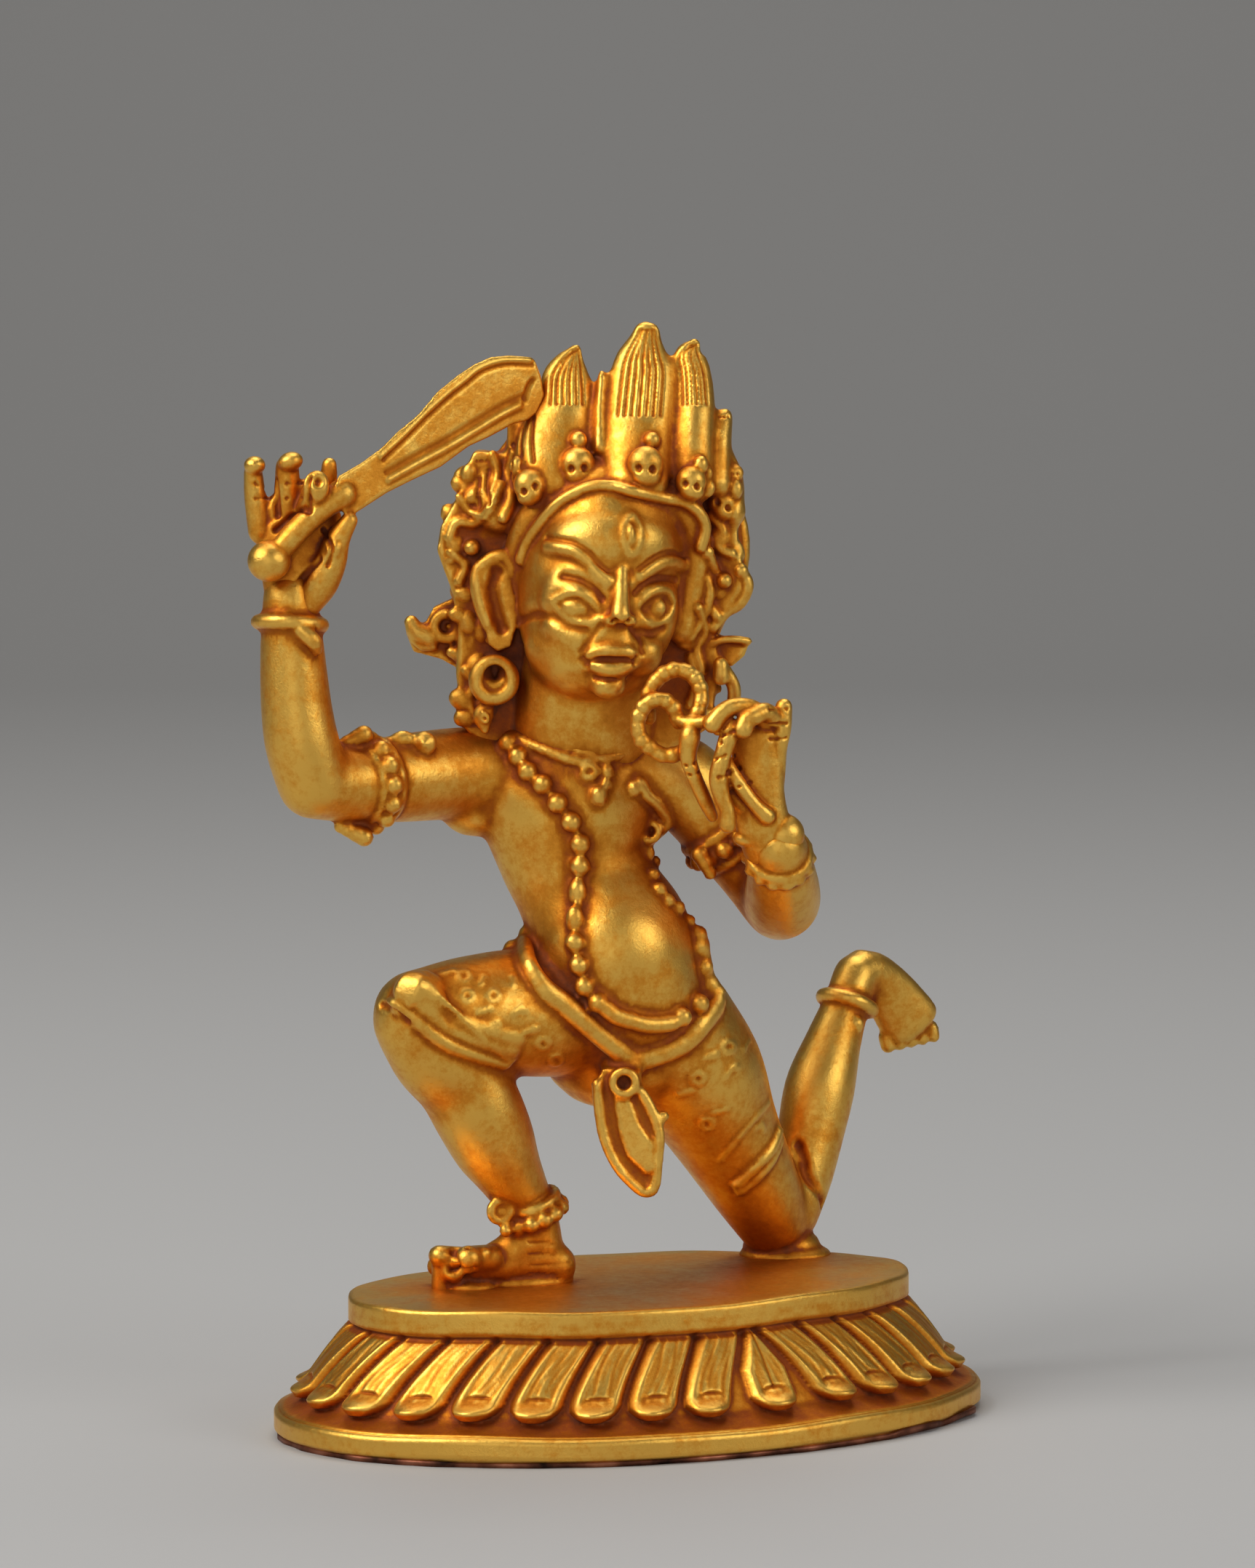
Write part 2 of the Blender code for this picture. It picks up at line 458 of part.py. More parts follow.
def dress(forms, tree):
    """The cloth about the hips, its rolled edges, and the flap that hangs between the legs."""
    drawn(forms, [(*p, 0.75, 0.5) for p in laid_on(tree, [(-6.3, 18.6), (-5.5, 17.2), (-4.6, 15.8), (-3.0, 14.4),
                                                      (-1.0, 13.0), (1.2, 12.9), (3.4, 14.0), (4.7, 15.6),
                                                      (4.9, 17.2), (4.5, 18.6)])], side=(0, 0, 1), sides=10)
    ball(forms, laid_on(tree, [(-6.3, 18.8)])[0], 0.75)
    drawn(forms, [(-0.4, -2.6, 12.4, 1.5, 0.6), (-0.3, -3.0, 9.8, 1.55, 0.5), (0.1, -3.0, 7.6, 1.45, 0.45),
               (0.5, -2.9, 6.0, 1.05, 0.4), (0.9, -2.8, 5.0, 0.35, 0.3)], sides=14)
    drawn(forms, [(-0.3, -0.5, 13.0, 1.6), (-0.4, -2.2, 12.2, 1.3)], sides=12)
    hoop(forms, (-0.4, -3.2, 11.4), (0, -1, 0), 0.6, 0.28)
    drawn(forms, [(*p, 0.55) for p in laid_on(tree, [(-13.4, 15.6), (-12.2, 14.4), (-10.9, 13.5), (-9.4, 12.7),
                                                 (-8.2, 12.2)])], side=(0, 0, 1), sides=10)
    for a, b in (((7.4, 10.4), (5.0, 7.4)), ((8.1, 8.7), (6.2, 5.6))):
        line = [(a[0] + (b[0] - a[0]) * t, a[1] + (b[1] - a[1]) * t) for t in (0, 0.33, 0.67, 1)]
        drawn(forms, [(*p, 0.42) for p in laid_on(tree, line)], side=(1, 0, 0), sides=8)


def jewels(forms, tree):
    chain = laid_on(tree, [(-7.2, 30.0), (-6.4, 28.8), (-4.8, 27.1), (-3.3, 25.1), (-2.7, 22.8), (-3.0, 19.9),
                           (-2.8, 17.4), (-1.7, 15.6), (0.6, 14.6), (2.7, 15.0), (3.9, 16.3), (3.7, 18.2),
                           (2.7, 20.5), (1.2, 22.4)], lift=0.15)
    beads(forms, chain, 0.46, 0.86)
    collar = laid_on(tree, [(-6.6, 30.2), (-5.0, 29.2), (-2.6, 28.4), (-0.3, 29.0), (1.2, 29.9)], lift=0.1)
    cord(forms, collar, 0.4)
    beads(forms, laid_on(tree, [(-6.0, 29.0), (-4.6, 28.2), (-2.6, 27.5), (-0.4, 28.1), (1.0, 28.9)], lift=0.1),
          0.36, 1.1)
    for place in laid_on(tree, [(-1.9, 26.4), (-1.6, 27.5)], lift=0.1):
        ball(forms, place, 0.5)
    # Bangles: arms, wrists and ankles
    hoop(forms, (-12.9, -2.2, 27.6), (0.78, 0.58, 0.05), 2.35, 0.42)
    for k in range(-2, 3):
        around = math.radians(200 + 34 * k)
        ball(forms, (-12.9 - 1.5 * math.cos(around) * 0.5, -2.2 + 2.5 * math.cos(around), 27.6 + 2.5 * math.sin(around)),
             0.55)
    hoop(forms, (5.2, 2.1, 24.8), (0.55, 0.15, -0.82), 2.35, 0.42)
    hoop(forms, (-18.0, -6.4, 35.7), (0, 0, 1), 1.6, 0.45)
    ball(forms, (-17.2, -8.0, 35.3), 0.5)
    hoop(forms, (7.9, -3.6, 24.0), (0, -0.78, 0.6), 1.65, 0.42)
    ball(forms, (8.4, -4.0, 22.4), (0.6, 0.5, 0.6))
    hoop(forms, (-5.6, -0.9, 3.9), (0.5, 0.35, -1.5), 1.6, 0.4)
    hoop(forms, (12.3, 13.5, 13.8), (0.5, 0.55, 1.6), 1.4, 0.4)
    ball(forms, (-7.0, -2.3, 3.2), 0.6)


def carving(tree):
    """Lines cut into the skin or raised from it."""
    strokes = []
    for line in ([(-6.0, 25.2), (-4.6, 24.9), (-3.4, 25.6)], [(-2.6, 25.4), (-1.2, 24.8), (0.4, 25.0)]):
        strokes.append((laid_on(tree, line), 0.55, -0.22))
    navel = laid_on(tree, [(0.2, 19.4), (0.5, 19.4)])
    if len(navel) > 1:
        strokes.append((navel, 0.6, -0.4))
    return [stroke for stroke in strokes if len(stroke[0]) > 1]


def figure(finish):
    limbs = []
    for model in (trunk, raised_arm, bent_arm, front_leg, kneeling_leg, feet, head):
        model(limbs)
    flesh = blended(limbs, BODY_GRAIN, 0.5, 7)
    tree = BVHTree.FromBMesh(flesh)
    forms = [flesh]
    for model in (solder_mounds, sword_hand, sword, rope_hand, rope, ears_and_jewels, crown, hair):
        model(forms)
    dress(forms, tree)
    jewels(forms, tree)
    skin = blended(forms, DETAIL_GRAIN, 0.5, 1)
    carve(skin, carving(tree))
    keep_largest(skin)
    # The soles and mounds rest flat
    bmesh.ops.bisect_plane(skin, geom=skin.verts[:] + skin.edges[:] + skin.faces[:], plane_co=(0, 0, 0),
                           plane_no=(0, 0, -1), clear_outer=True)
    rim = [edge for edge in skin.edges if edge.is_boundary]
    bmesh.ops.holes_fill(skin, edges=rim, sides=0)
    place = (Matrix.Translation((0, 0, PLINTH_TOP + TOUCH_GAP)) @ Matrix.Rotation(FIGURE_TURN, 4, "Z")
             @ Matrix.Scale(PART, 4))
    return finished("figure", skin, place, FIGURE_TRIANGLES, finish)


# Plinth

def oval(around, margin):
    return Vector(((TOP_LENGTH / 2 + margin) * math.cos(around), (TOP_WIDTH / 2 + margin) * math.sin(around), 0))


def even_angles(margin, columns):
    """Angles from the centre petal on that cut the oval into equal lengths, and the length all round."""
    fine = np.linspace(CENTRE_PETAL, CENTRE_PETAL + 2 * math.pi, 1441)
    points = np.array([oval(a, margin)[:2] for a in fine])
    lengths = np.concatenate([[0], np.cumsum(np.linalg.norm(np.diff(points, axis=0), axis=1))])
    return [float(np.interp(lengths[-1] * k / columns, lengths, fine)) for k in range(columns)], lengths[-1]


def petal_height(along, down, petals):
    """Share of the petals' relief at a place: along is in petals from the centre one, down is 0 to 1."""
    number = round(along)
    half_way = petals / 2
    lean = 0.0 if number % petals == 0 else (1.0 if along % petals > half_way else -1.0)
    shift = 0.42 * lean * (1 - down) ** 1.4
    best = 0.0
    for centre in (number - 1, number, number + 1):
        apart = abs(along - centre - (0.0 if centre % petals == 0 else shift))
        wide = 0.43 * (0.8 + 0.2 * math.sin(math.pi * min(1.0, down * 1.15)))
        if centre % petals == 0:
            wide *= 0.35 + 0.65 * min(1.0, down * 2.4)
        if down > 0.8:
            wide *= math.sqrt(max(0.0, 1 - ((down - 0.8) / 0.2) ** 2))
        if apart < wide:
            edge = apart / wide
            foot = math.exp(-((down - 0.86) / 0.09) ** 2)
            best = max(best, math.sqrt(1 - edge ** 4) * (0.86 + 0.14 * edge ** 2 + 0.45 * foot * (1 - edge ** 2)))
    return best


def lotus_base(finish):
    bottom = SHEET_THICKNESS + TOUCH_GAP
    foot_top = FOOT_RIM_HEIGHT + bottom
    petal_top = PLINTH_TOP - TOP_RIM_HEIGHT
    _, length = even_angles(FLARE / 2, 8)
    petals = max(8, round(length / PETAL_PITCH))
    per_petal = 8
    columns = petals * per_petal
    angles, _ = even_angles(FLARE / 2, columns)
    edge = 0.0002
    # Rows from the top down: height, margin beyond the top's edge, and how far down the petals it is
    rows = [(PLINTH_TOP, -edge, None), (PLINTH_TOP - edge, 0, None), (petal_top + edge, 0, None),
            (petal_top, -2 * edge, None)]
    steps = 9
    for k in range(steps + 1):
        t = k / steps
        rows.append((petal_top - edge + (foot_top + edge - petal_top) * t,
                     -3 * edge + (FLARE - PETAL_INSET) * t ** 1.1, t))
    rows += [(foot_top, FLARE - edge, None), (foot_top - edge, FLARE, None),
             (bottom + edge / 2, FLARE, None), (bottom, FLARE - edge / 2, None)]
    bm = bmesh.new()
    rings = []
    for height, margin, down in rows:
        ring = []
        for k, around in enumerate(angles):
            out = margin
            if down is not None:
                out += PETAL_RELIEF * petal_height(k / per_petal, down, petals)
            ring.append(bm.verts.new(oval(around, out) + Vector((0, 0, height))))
        rings.append(ring)
    for upper, lower in zip(rings[:-1], rings[1:]):
        for k in range(columns):
            j = (k + 1) % columns
            bm.faces.new((upper[k], lower[k], lower[j], upper[j]))
    bm.faces.new(rings[0])
    bm.faces.new(list(reversed(rings[-1])))
    return finished("lotus_base", bm, Matrix.Identity(4), PLINTH_TRIANGLES, finish)


def base_plate(finish):
    """The sheet under the plinth, a hair wider than the foot rim."""
    bm = bmesh.new()
    columns = 64
    for height in (0.0, SHEET_THICKNESS):
        for k in range(columns):
            bm.verts.new(oval(2 * math.pi * k / columns, FLARE + SHEET_LIP) + Vector((0, 0, height)))
    bm.verts.ensure_lookup_table()
    low, high = bm.verts[:columns], bm.verts[columns:]
    for k in range(columns):
        j = (k + 1) % columns
        bm.faces.new((low[k], low[j], high[j], high[k]))
    bm.faces.new(high)
    bm.faces.new(list(reversed(low)))
    return finished("base_plate", bm, Matrix.Identity(4), 4 * columns, finish)


clear_scene()
gilt = material("gilt_copper", (0.72, 0.44, 0.12), 0.33, 1.0)
copper = material("bare_copper", (0.35, 0.16, 0.09), 0.5, 1.0)
figure(gilt)
lotus_base(gilt)
base_plate(copper)
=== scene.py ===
import math

import bmesh
import bpy
import numpy as np
from mathutils import Euler, Matrix, Vector
from mathutils.bvhtree import BVHTree


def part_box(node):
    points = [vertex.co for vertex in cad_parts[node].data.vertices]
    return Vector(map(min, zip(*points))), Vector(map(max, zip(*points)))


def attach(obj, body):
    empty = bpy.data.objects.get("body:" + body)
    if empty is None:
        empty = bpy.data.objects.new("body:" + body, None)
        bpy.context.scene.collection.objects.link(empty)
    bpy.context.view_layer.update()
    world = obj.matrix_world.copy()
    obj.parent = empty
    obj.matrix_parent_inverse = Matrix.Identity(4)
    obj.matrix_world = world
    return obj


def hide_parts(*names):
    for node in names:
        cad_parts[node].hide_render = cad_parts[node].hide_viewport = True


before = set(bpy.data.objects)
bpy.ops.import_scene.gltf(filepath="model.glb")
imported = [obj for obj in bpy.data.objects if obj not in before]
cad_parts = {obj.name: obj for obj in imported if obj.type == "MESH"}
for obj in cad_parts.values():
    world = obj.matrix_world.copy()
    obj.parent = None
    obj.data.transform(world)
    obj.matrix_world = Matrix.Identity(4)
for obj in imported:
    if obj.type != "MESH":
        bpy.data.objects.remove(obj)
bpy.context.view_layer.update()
plinthLow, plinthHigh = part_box("lotus_base")
sheetLow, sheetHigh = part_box("base_plate")

# the figure is laid out in parts of its own height, about 52 from the plinth to the tip of the hair
figure = {
    "turn": math.radians(-24),    # its front looks at the camera, the plinth is turned under it
    "partsHigh": 52.34,           # what the solid measures, in parts
    "under": 0.994,               # the melted skin stays this little under the solid
    "fleshGrain": 0.24,           # voxels of the skins, in parts
    "bodyGrain": 0.155, "skullGrain": 0.16, "faceGrain": 0.11, "hairGrain": 0.19, "headGrain": 0.105,
    "handGrain": 0.095,
    "ropePitch": 0.27,
    "mostTriangles": 192000,
}
part = (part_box("figure")[1].z - plinthHigh.z) / figure["partsHigh"] * figure["under"]
seat = (Matrix.Translation((0, 0, plinthHigh.z)) @ Matrix.Rotation(figure["turn"], 4, "Z")
        @ Matrix.Scale(part, 4))
sight = Vector((-0.218, -334.87, 54.97))    # where the photograph was taken from, in parts


def linear(hexColour):
    # sRGB hex to the linear colour that a shader takes
    values = [int(hexColour[i:i + 2], 16) / 255 for i in (1, 3, 5)]
    return (*[v / 12.92 if v <= 0.04045 else ((v + 0.055) / 1.055) ** 2.4 for v in values], 1.0)


def placed(name, data):
    made = bpy.data.objects.new(name, data)
    bpy.context.scene.collection.objects.link(made)
    return made


def smoothPath(stations, steps):
    pts = np.array(stations, float)
    ends = np.vstack([2 * pts[0] - pts[1], pts, 2 * pts[-1] - pts[-2]])
    out = []
    for i in range(len(pts) - 1):
        a, b, c, d = ends[i:i + 4]
        for k in range(steps):
            t = k / steps
            out.append(0.5 * (2 * b + (c - a) * t + (2 * a - 5 * b + 4 * c - d) * t * t
                              + (3 * b - a - 3 * c + d) * t ** 3))
    out.append(pts[-1])
    return np.array(out)


def drawOut(forms, stations, side=(1, 0, 0), sides=20, steps=4, cap=4):
    # a ball drawn out along a path; a station is x, y, z, half-width and, if it differs, half-depth
    rows = [s if len(s) == 5 else (*s, s[3]) for s in stations]
    path = smoothPath(rows, steps)
    path[:, 3:] = np.maximum(path[:, 3:], 0.04)
    centres = path[:, :3]
    along = np.gradient(centres, axis=0)
    along /= np.linalg.norm(along, axis=1)[:, None]
    side = np.array(side, float)
    across = side - along * (along @ side)[:, None]
    across /= np.linalg.norm(across, axis=1)[:, None]
    through = np.cross(along, across)
    count = len(path)
    bands = 2 * cap + count - 1
    form = bmesh.new()
    bmesh.ops.create_uvsphere(form, u_segments=sides, v_segments=bands, radius=1.0)
    for vert in form.verts:
        band = round(math.acos(max(-1.0, min(1.0, vert.co.z))) * bands / math.pi)
        j = min(max(band - cap, 0), count - 1)
        over = band - cap - j
        turn = math.atan2(vert.co.y, vert.co.x)
        lean = abs(over) / cap * math.pi / 2
        wide, deep = path[j, 3] * math.cos(lean), path[j, 4] * math.cos(lean)
        reach = math.copysign(min(path[j, 3], path[j, 4]) * math.sin(lean), over)
        vert.co = (centres[j] + along[j] * reach + across[j] * wide * math.cos(turn)
                   + through[j] * deep * math.sin(turn))
    forms.append(form)


def ball(forms, centre, radii, turn=(0, 0, 0), detail=3):
    if not hasattr(radii, "__len__"):
        radii = (radii, radii, radii)
    place = Matrix.LocRotScale(Vector(centre), Euler([math.radians(a) for a in turn]), Vector(radii))
    form = bmesh.new()
    bmesh.ops.create_icosphere(form, subdivisions=detail, radius=1.0, matrix=place)
    forms.append(form)


def hoop(forms, centre, axis, radius, tube, sides=12, steps=44):
    axis = Vector(axis).normalized()
    place = Matrix.Translation(Vector(centre)) @ axis.to_track_quat("Z", "Y").to_matrix().to_4x4()
    start = place @ Matrix.Translation((radius, 0, 0)) @ Matrix.Rotation(math.pi / 2, 4, "X")
    form = bmesh.new()
    bmesh.ops.create_circle(form, segments=sides, radius=tube, matrix=start)
    bmesh.ops.spin(form, geom=form.verts[:] + form.edges[:], cent=Vector(centre), axis=axis,
                   angle=2 * math.pi, steps=steps, use_merge=True)
    forms.append(form)


def beadHoop(forms, centre, axis, radius, size, count):
    # a bangle of beads
    axis = Vector(axis).normalized()
    turnTo = axis.to_track_quat("Z", "Y")
    for k in range(count):
        angle = 2 * math.pi * k / count
        ball(forms, Vector(centre) + turnTo @ Vector((radius * math.cos(angle), radius * math.sin(angle), 0)),
             size, detail=2)


def slab(forms, points, thick):
    # a flat outline given thickness towards the back
    form = bmesh.new()
    face = form.faces.new([form.verts.new(p) for p in points])
    made = bmesh.ops.extrude_face_region(form, geom=[face])
    moved = [item for item in made["geom"] if isinstance(item, bmesh.types.BMVert)]
    bmesh.ops.translate(form, verts=moved, vec=(0, thick, 0))
    bmesh.ops.recalc_face_normals(form, faces=form.faces)
    forms.append(form)


def beads(forms, points, radius, pitch):
    path = smoothPath(points, 12)
    lengths = np.concatenate([[0], np.cumsum(np.linalg.norm(np.diff(path, axis=0), axis=1))])
    count = max(2, round(lengths[-1] / pitch) + 1)
    for number, at in enumerate(np.linspace(0, lengths[-1], count)):
        place = [np.interp(at, lengths, path[:, k]) for k in range(3)]
        size = radius * (1 + 0.1 * math.sin(number * 2.7))
        ball(forms, place, size, turn=(0, 12 * math.sin(number * 1.9), 0))


def cord(forms, points, radius, sides=12):
    drawOut(forms, [(*p, radius) for p in points], side=(0.31, 0.17, 0.93), sides=sides, steps=6, cap=3)


def ribbedRope(forms, points, radius):
    # beads set close along a soft core read as the turns of a thin rope
    cord(forms, points, radius * 0.86)
    beads(forms, points, radius, figure["ropePitch"])


def onSight(x, z, y):
    # the point at depth y on the sight line through (x, 0, z)
    return sight.lerp(Vector((x, 0, z)), (y - sight.y) / -sight.y)


def layOn(tree, points, lift=0.0):
    # points given as x, z where they are seen are carried onto the surface there
    out = []
    for x, z in points:
        seen = Vector((x, 0, z))
        hit, normal, _, _ = tree.ray_cast(sight, (seen - sight).normalized())
        if hit is None:
            hit, normal, _, _ = tree.find_nearest(seen)
        out.append(tuple(hit + normal * lift))
    return out


def hug(tree, points):
    return [tuple(tree.find_nearest(Vector(point))[0]) for point in points]


def stud(forms, tree, x, z, lift, size):
    ball(forms, layOn(tree, [(x, z)], lift)[0], size)


def strokesOn(tree, table):
    # each row has the points of one stroke as they are seen, its half-width and its depth
    return [(layOn(tree, points), halfWidth, depth) for points, halfWidth, depth in table]


def reshaped(mesh, changes):
    # the mesh as it is after modifiers, each given by its kind and settings
    guide = placed("guide", mesh)
    for kind, settings in changes:
        change = guide.modifiers.new(kind, kind)
        for key, value in settings.items():
            setattr(change, key, value)
    graph = bpy.context.evaluated_depsgraph_get()
    out = bpy.data.meshes.new_from_object(guide.evaluated_get(graph))
    bpy.data.objects.remove(guide, do_unlink=True)
    bpy.data.meshes.remove(mesh)
    return out


def melt(forms, grain, ease):
    # overlapping forms become one skin, eased by smoothing
    heap = bmesh.new()
    for form in forms:
        one = bpy.data.meshes.new("form")
        form.to_mesh(one)
        form.free()
        heap.from_mesh(one)
        bpy.data.meshes.remove(one)
    mesh = bpy.data.meshes.new("heap")
    heap.to_mesh(mesh)
    heap.free()
    changes = [("REMESH", {"mode": "VOXEL", "voxel_size": grain})]
    if ease:
        changes.append(("SMOOTH", {"factor": 0.5, "iterations": ease}))
    return reshaped(mesh, changes)


def treeOf(*meshes):
    form = bmesh.new()
    for mesh in meshes:
        form.from_mesh(mesh)
    tree = BVHTree.FromBMesh(form)
    form.free()
    return tree


def asForm(mesh):
    form = bmesh.new()
    form.from_mesh(mesh)
    bpy.data.meshes.remove(mesh)
    return form


def readPoints(mesh):
    places = np.empty(len(mesh.vertices) * 3, np.float32)
    mesh.vertices.foreach_get("co", places)
    normals = np.empty(len(mesh.vertices) * 3, np.float32)
    mesh.vertex_normals.foreach_get("vector", normals)
    return places.reshape(-1, 3).astype(float), normals.reshape(-1, 3).astype(float)


def carve(mesh, strokes):
    # pushes the skin in (depth below zero) or out along lines; a stroke is points, half-width, depth
    places, normals = readPoints(mesh)
    move = np.zeros(len(places))
    for points, halfWidth, depth in strokes:
        path = smoothPath(points, 8) if len(points) > 1 else np.array([points[0], points[0]])
        near = ((places > path.min(0) - halfWidth) & (places < path.max(0) + halfWidth)).all(1).nonzero()[0]
        if not len(near):
            continue
        some = places[near]
        apart = np.full(len(near), np.inf)
        for a, b in zip(path[:-1], path[1:]):
            run = b - a
            t = np.clip((some - a) @ run / max(run @ run, 1e-9), 0, 1)
            apart = np.minimum(apart, np.linalg.norm(some - a - t[:, None] * run, axis=1))
        inside = apart < halfWidth
        move[near[inside]] += depth * np.cos(apart[inside] / halfWidth * math.pi / 2) ** 2
    mesh.vertices.foreach_set("co", (places + normals * move[:, None]).astype(np.float32).ravel())
    mesh.update()


def thinned(mesh, most):
    # loose specks go, then the mesh is thinned to at most so many triangles
    form = bmesh.new()
    form.from_mesh(mesh)
    bpy.data.meshes.remove(mesh)
    left = set(form.verts)
    groups = []
    while left:
        seed = left.pop()
        group = [seed]
        edge = [seed]
        while edge:
            vert = edge.pop()
            for link in vert.link_edges:
                other = link.other_vert(vert)
                if other in left:
                    left.discard(other)
                    group.append(other)
                    edge.append(other)
        groups.append(group)
    groups.sort(key=len)
    for group in groups[:-1]:
        bmesh.ops.delete(form, geom=group, context="VERTS")
    bmesh.ops.triangulate(form, faces=form.faces)
    count = len(form.faces)
    out = bpy.data.meshes.new("thinned")
    form.to_mesh(out)
    form.free()
    return reshaped(out, [("DECIMATE", {"ratio": most / count})]) if count > most else out


def pieceFrom(mesh, name, place):
    mesh.transform(place)
    mesh.name = name
    mesh.shade_smooth()
    piece = placed(name, mesh)
    print(name, len(mesh.polygons), "triangles")
    return piece


# Flesh of the body

def fleshForms():
    forms = []
    drawOut(forms, [(-0.6, 1.8, 13, 4.4, 3.6), (-0.8, 1.3, 15, 5, 4.3), (-0.95, 0.6, 17.2, 4.7, 4.5),
                    (-1.3, 0.5, 19.2, 4.5, 4.2), (-2.4, 0.9, 21.6, 3.9, 3.4), (-3.1, 1.1, 23.5, 4.2, 3.4),
                    (-3.4, 1.2, 26.2, 5.2, 3.6), (-3.4, 1.3, 28, 5.6, 3.3), (-3.3, 1.3, 29.6, 4.3, 2.8),
                    (-3, 1.2, 30.8, 2.4, 2.2)], sides=32)
    ball(forms, (-1.1, -1, 18.3), (3.9, 3.1, 3.9), detail=4)
    ball(forms, (-1.3, -0.5, 20.4), (3, 2.5, 2.4), detail=4)
    ball(forms, (-0.9, 4, 15), (4.3, 2.5, 2.8), detail=4)
    ball(forms, (-8.5, 0.6, 26), (1.9, 1.6, 1.5))
    drawOut(forms, [(-2.7, 0.9, 29.6, 3.4, 2.6), (-2.6, 0.5, 31.6, 3, 2.5), (-2.2, 0.2, 34, 2.6)])
    # raised arm
    drawOut(forms, [(-6.6, 1.2, 27.9, 2.5), (-9.2, 0.5, 28, 2.5), (-12.3, -1.7, 27.9, 2.4),
                    (-15, -4, 27.8, 2.1), (-16.9, -5.6, 28, 2)], side=(0, 0, 1), sides=24)
    drawOut(forms, [(-16.9, -5.7, 28, 2), (-17.5, -6.2, 30.1, 2), (-17.8, -6.3, 32.2, 1.9),
                    (-18, -6.4, 35.4, 1.7), (-18.1, -6.5, 38, 1.45)], sides=24)
    # bent arm
    drawOut(forms, [(0.4, 1.3, 28, 2.4), (2.6, 1.5, 27.5, 2.5), (4.8, 2, 25.2, 2.4),
                    (6.7, 2.6, 22.6, 2.1), (8, 2.9, 20.7, 2)], sides=24)
    drawOut(forms, [(8.1, 2.8, 20.6, 2), (8.2, 0.6, 21.2, 2.1), (8.1, -1.9, 22.6, 1.9),
                    (7.9, -4.2, 24.4, 1.5)], sides=24)
    # front leg
    drawOut(forms, [(-2.4, 1.5, 14.6, 3.3), (-5.6, -0.9, 15.1, 3.5), (-9, -3.2, 15.3, 3.1),
                    (-11.4, -4.7, 15.4, 2.5)], side=(0, 0, 1), sides=28)
    ball(forms, (-11.3, -6.3, 16.9), (1.35, 1.3, 1.2), detail=4)
    drawOut(forms, [(-11.5, -4.7, 15.1, 2.4), (-10.4, -3.9, 13.3, 2.6), (-9.2, -3.1, 11.7, 2.5),
                    (-8.3, -2.7, 10, 2.5), (-7.4, -2.1, 8, 2.3), (-6.7, -1.6, 6.6, 1.9),
                    (-6, -1, 5.2, 1.6), (-5.3, -0.7, 3.6, 1.4), (-5, -0.6, 2.2, 1.3)], sides=28)
    # kneeling leg
    drawOut(forms, [(1.8, 2.6, 13.8, 4), (3.6, 4, 11, 3.8), (5.1, 5.6, 7.9, 3.1), (6.9, 7.5, 4.3, 2.5),
                    (7.8, 8.6, 2.4, 2.1)], sides=28)
    drawOut(forms, [(8.6, 9.4, 2.6, 1.9), (9.4, 10.2, 4.6, 1.9), (10, 10.8, 6.7, 1.9),
                    (10.6, 11.5, 9.4, 2), (11.4, 12.5, 11.9, 1.6), (12.2, 13.5, 14, 1.3)], sides=24)
    # feet
    drawOut(forms, [(-4.2, -0.3, 1.2, 1.25), (-5.5, -0.6, 1.6, 1.45), (-7.4, -1.3, 1.4, 1.35, 1.1),
                    (-8.8, -1.9, 1.3, 1.4, 0.85)], side=(0.3, -0.95, 0), sides=24)
    ball(forms, (-4.4, -0.3, 0.95), (1.4, 1.25, 0.95))
    drawOut(forms, [(-5.5, -0.9, 3.2, 1.2), (-6.4, -1.3, 2.2, 1.1), (-7.4, -1.5, 1.8, 0.9)], sides=20)
    drawOut(forms, [(12.3, 13.6, 14.4, 1.3), (13, 14.6, 15.6, 1.35), (14.5, 15.5, 14.4, 1.6, 0.95),
                    (16, 16.3, 12.3, 1.9, 0.75)], side=(0.95, 0.3, 0.15), sides=24)
    return forms


def toeForms(forms):
    # raised foot: a row of toes that point down
    for k in range(5):
        x, y, z = 14.5 + 0.66 * k, 15.9 + 0.25 * k, 11.7 + 0.1 * k
        drawOut(forms, [(x, y, z, 0.47 - 0.02 * k), (x + 0.1, y, z - 0.5, 0.45 - 0.02 * k)],
            side=(0, 1, 0), sides=14)
    # front foot: a big toe like a ball, the next ones behind it, the far block standing on a small post
    drawOut(forms, [(-7.7, -2.4, 1.9, 0.75), (-8.8, -3.3, 2, 0.72)], side=(0, 0, 1))
    ball(forms, (-8.8, -3.5, 2), 0.78)
    ball(forms, (-7.9, -3.1, 2.3), 0.36)
    for k in range(4):
        ball(forms, (-9.6 - 0.3 * k, -3.2 + 0.6 * k, 1.3), (0.62, 0.5, 0.6))
    drawOut(forms, [(-9, -2.3, 1.8, 0.7), (-10.4, -2.9, 2.1, 0.7, 0.58)], side=(0, -1, 0))
    drawOut(forms, [(-10.2, -2.7, 1.8, 0.6), (-10.3, -2.6, 0.2, 0.55)])


# Cloth and jewels of the body

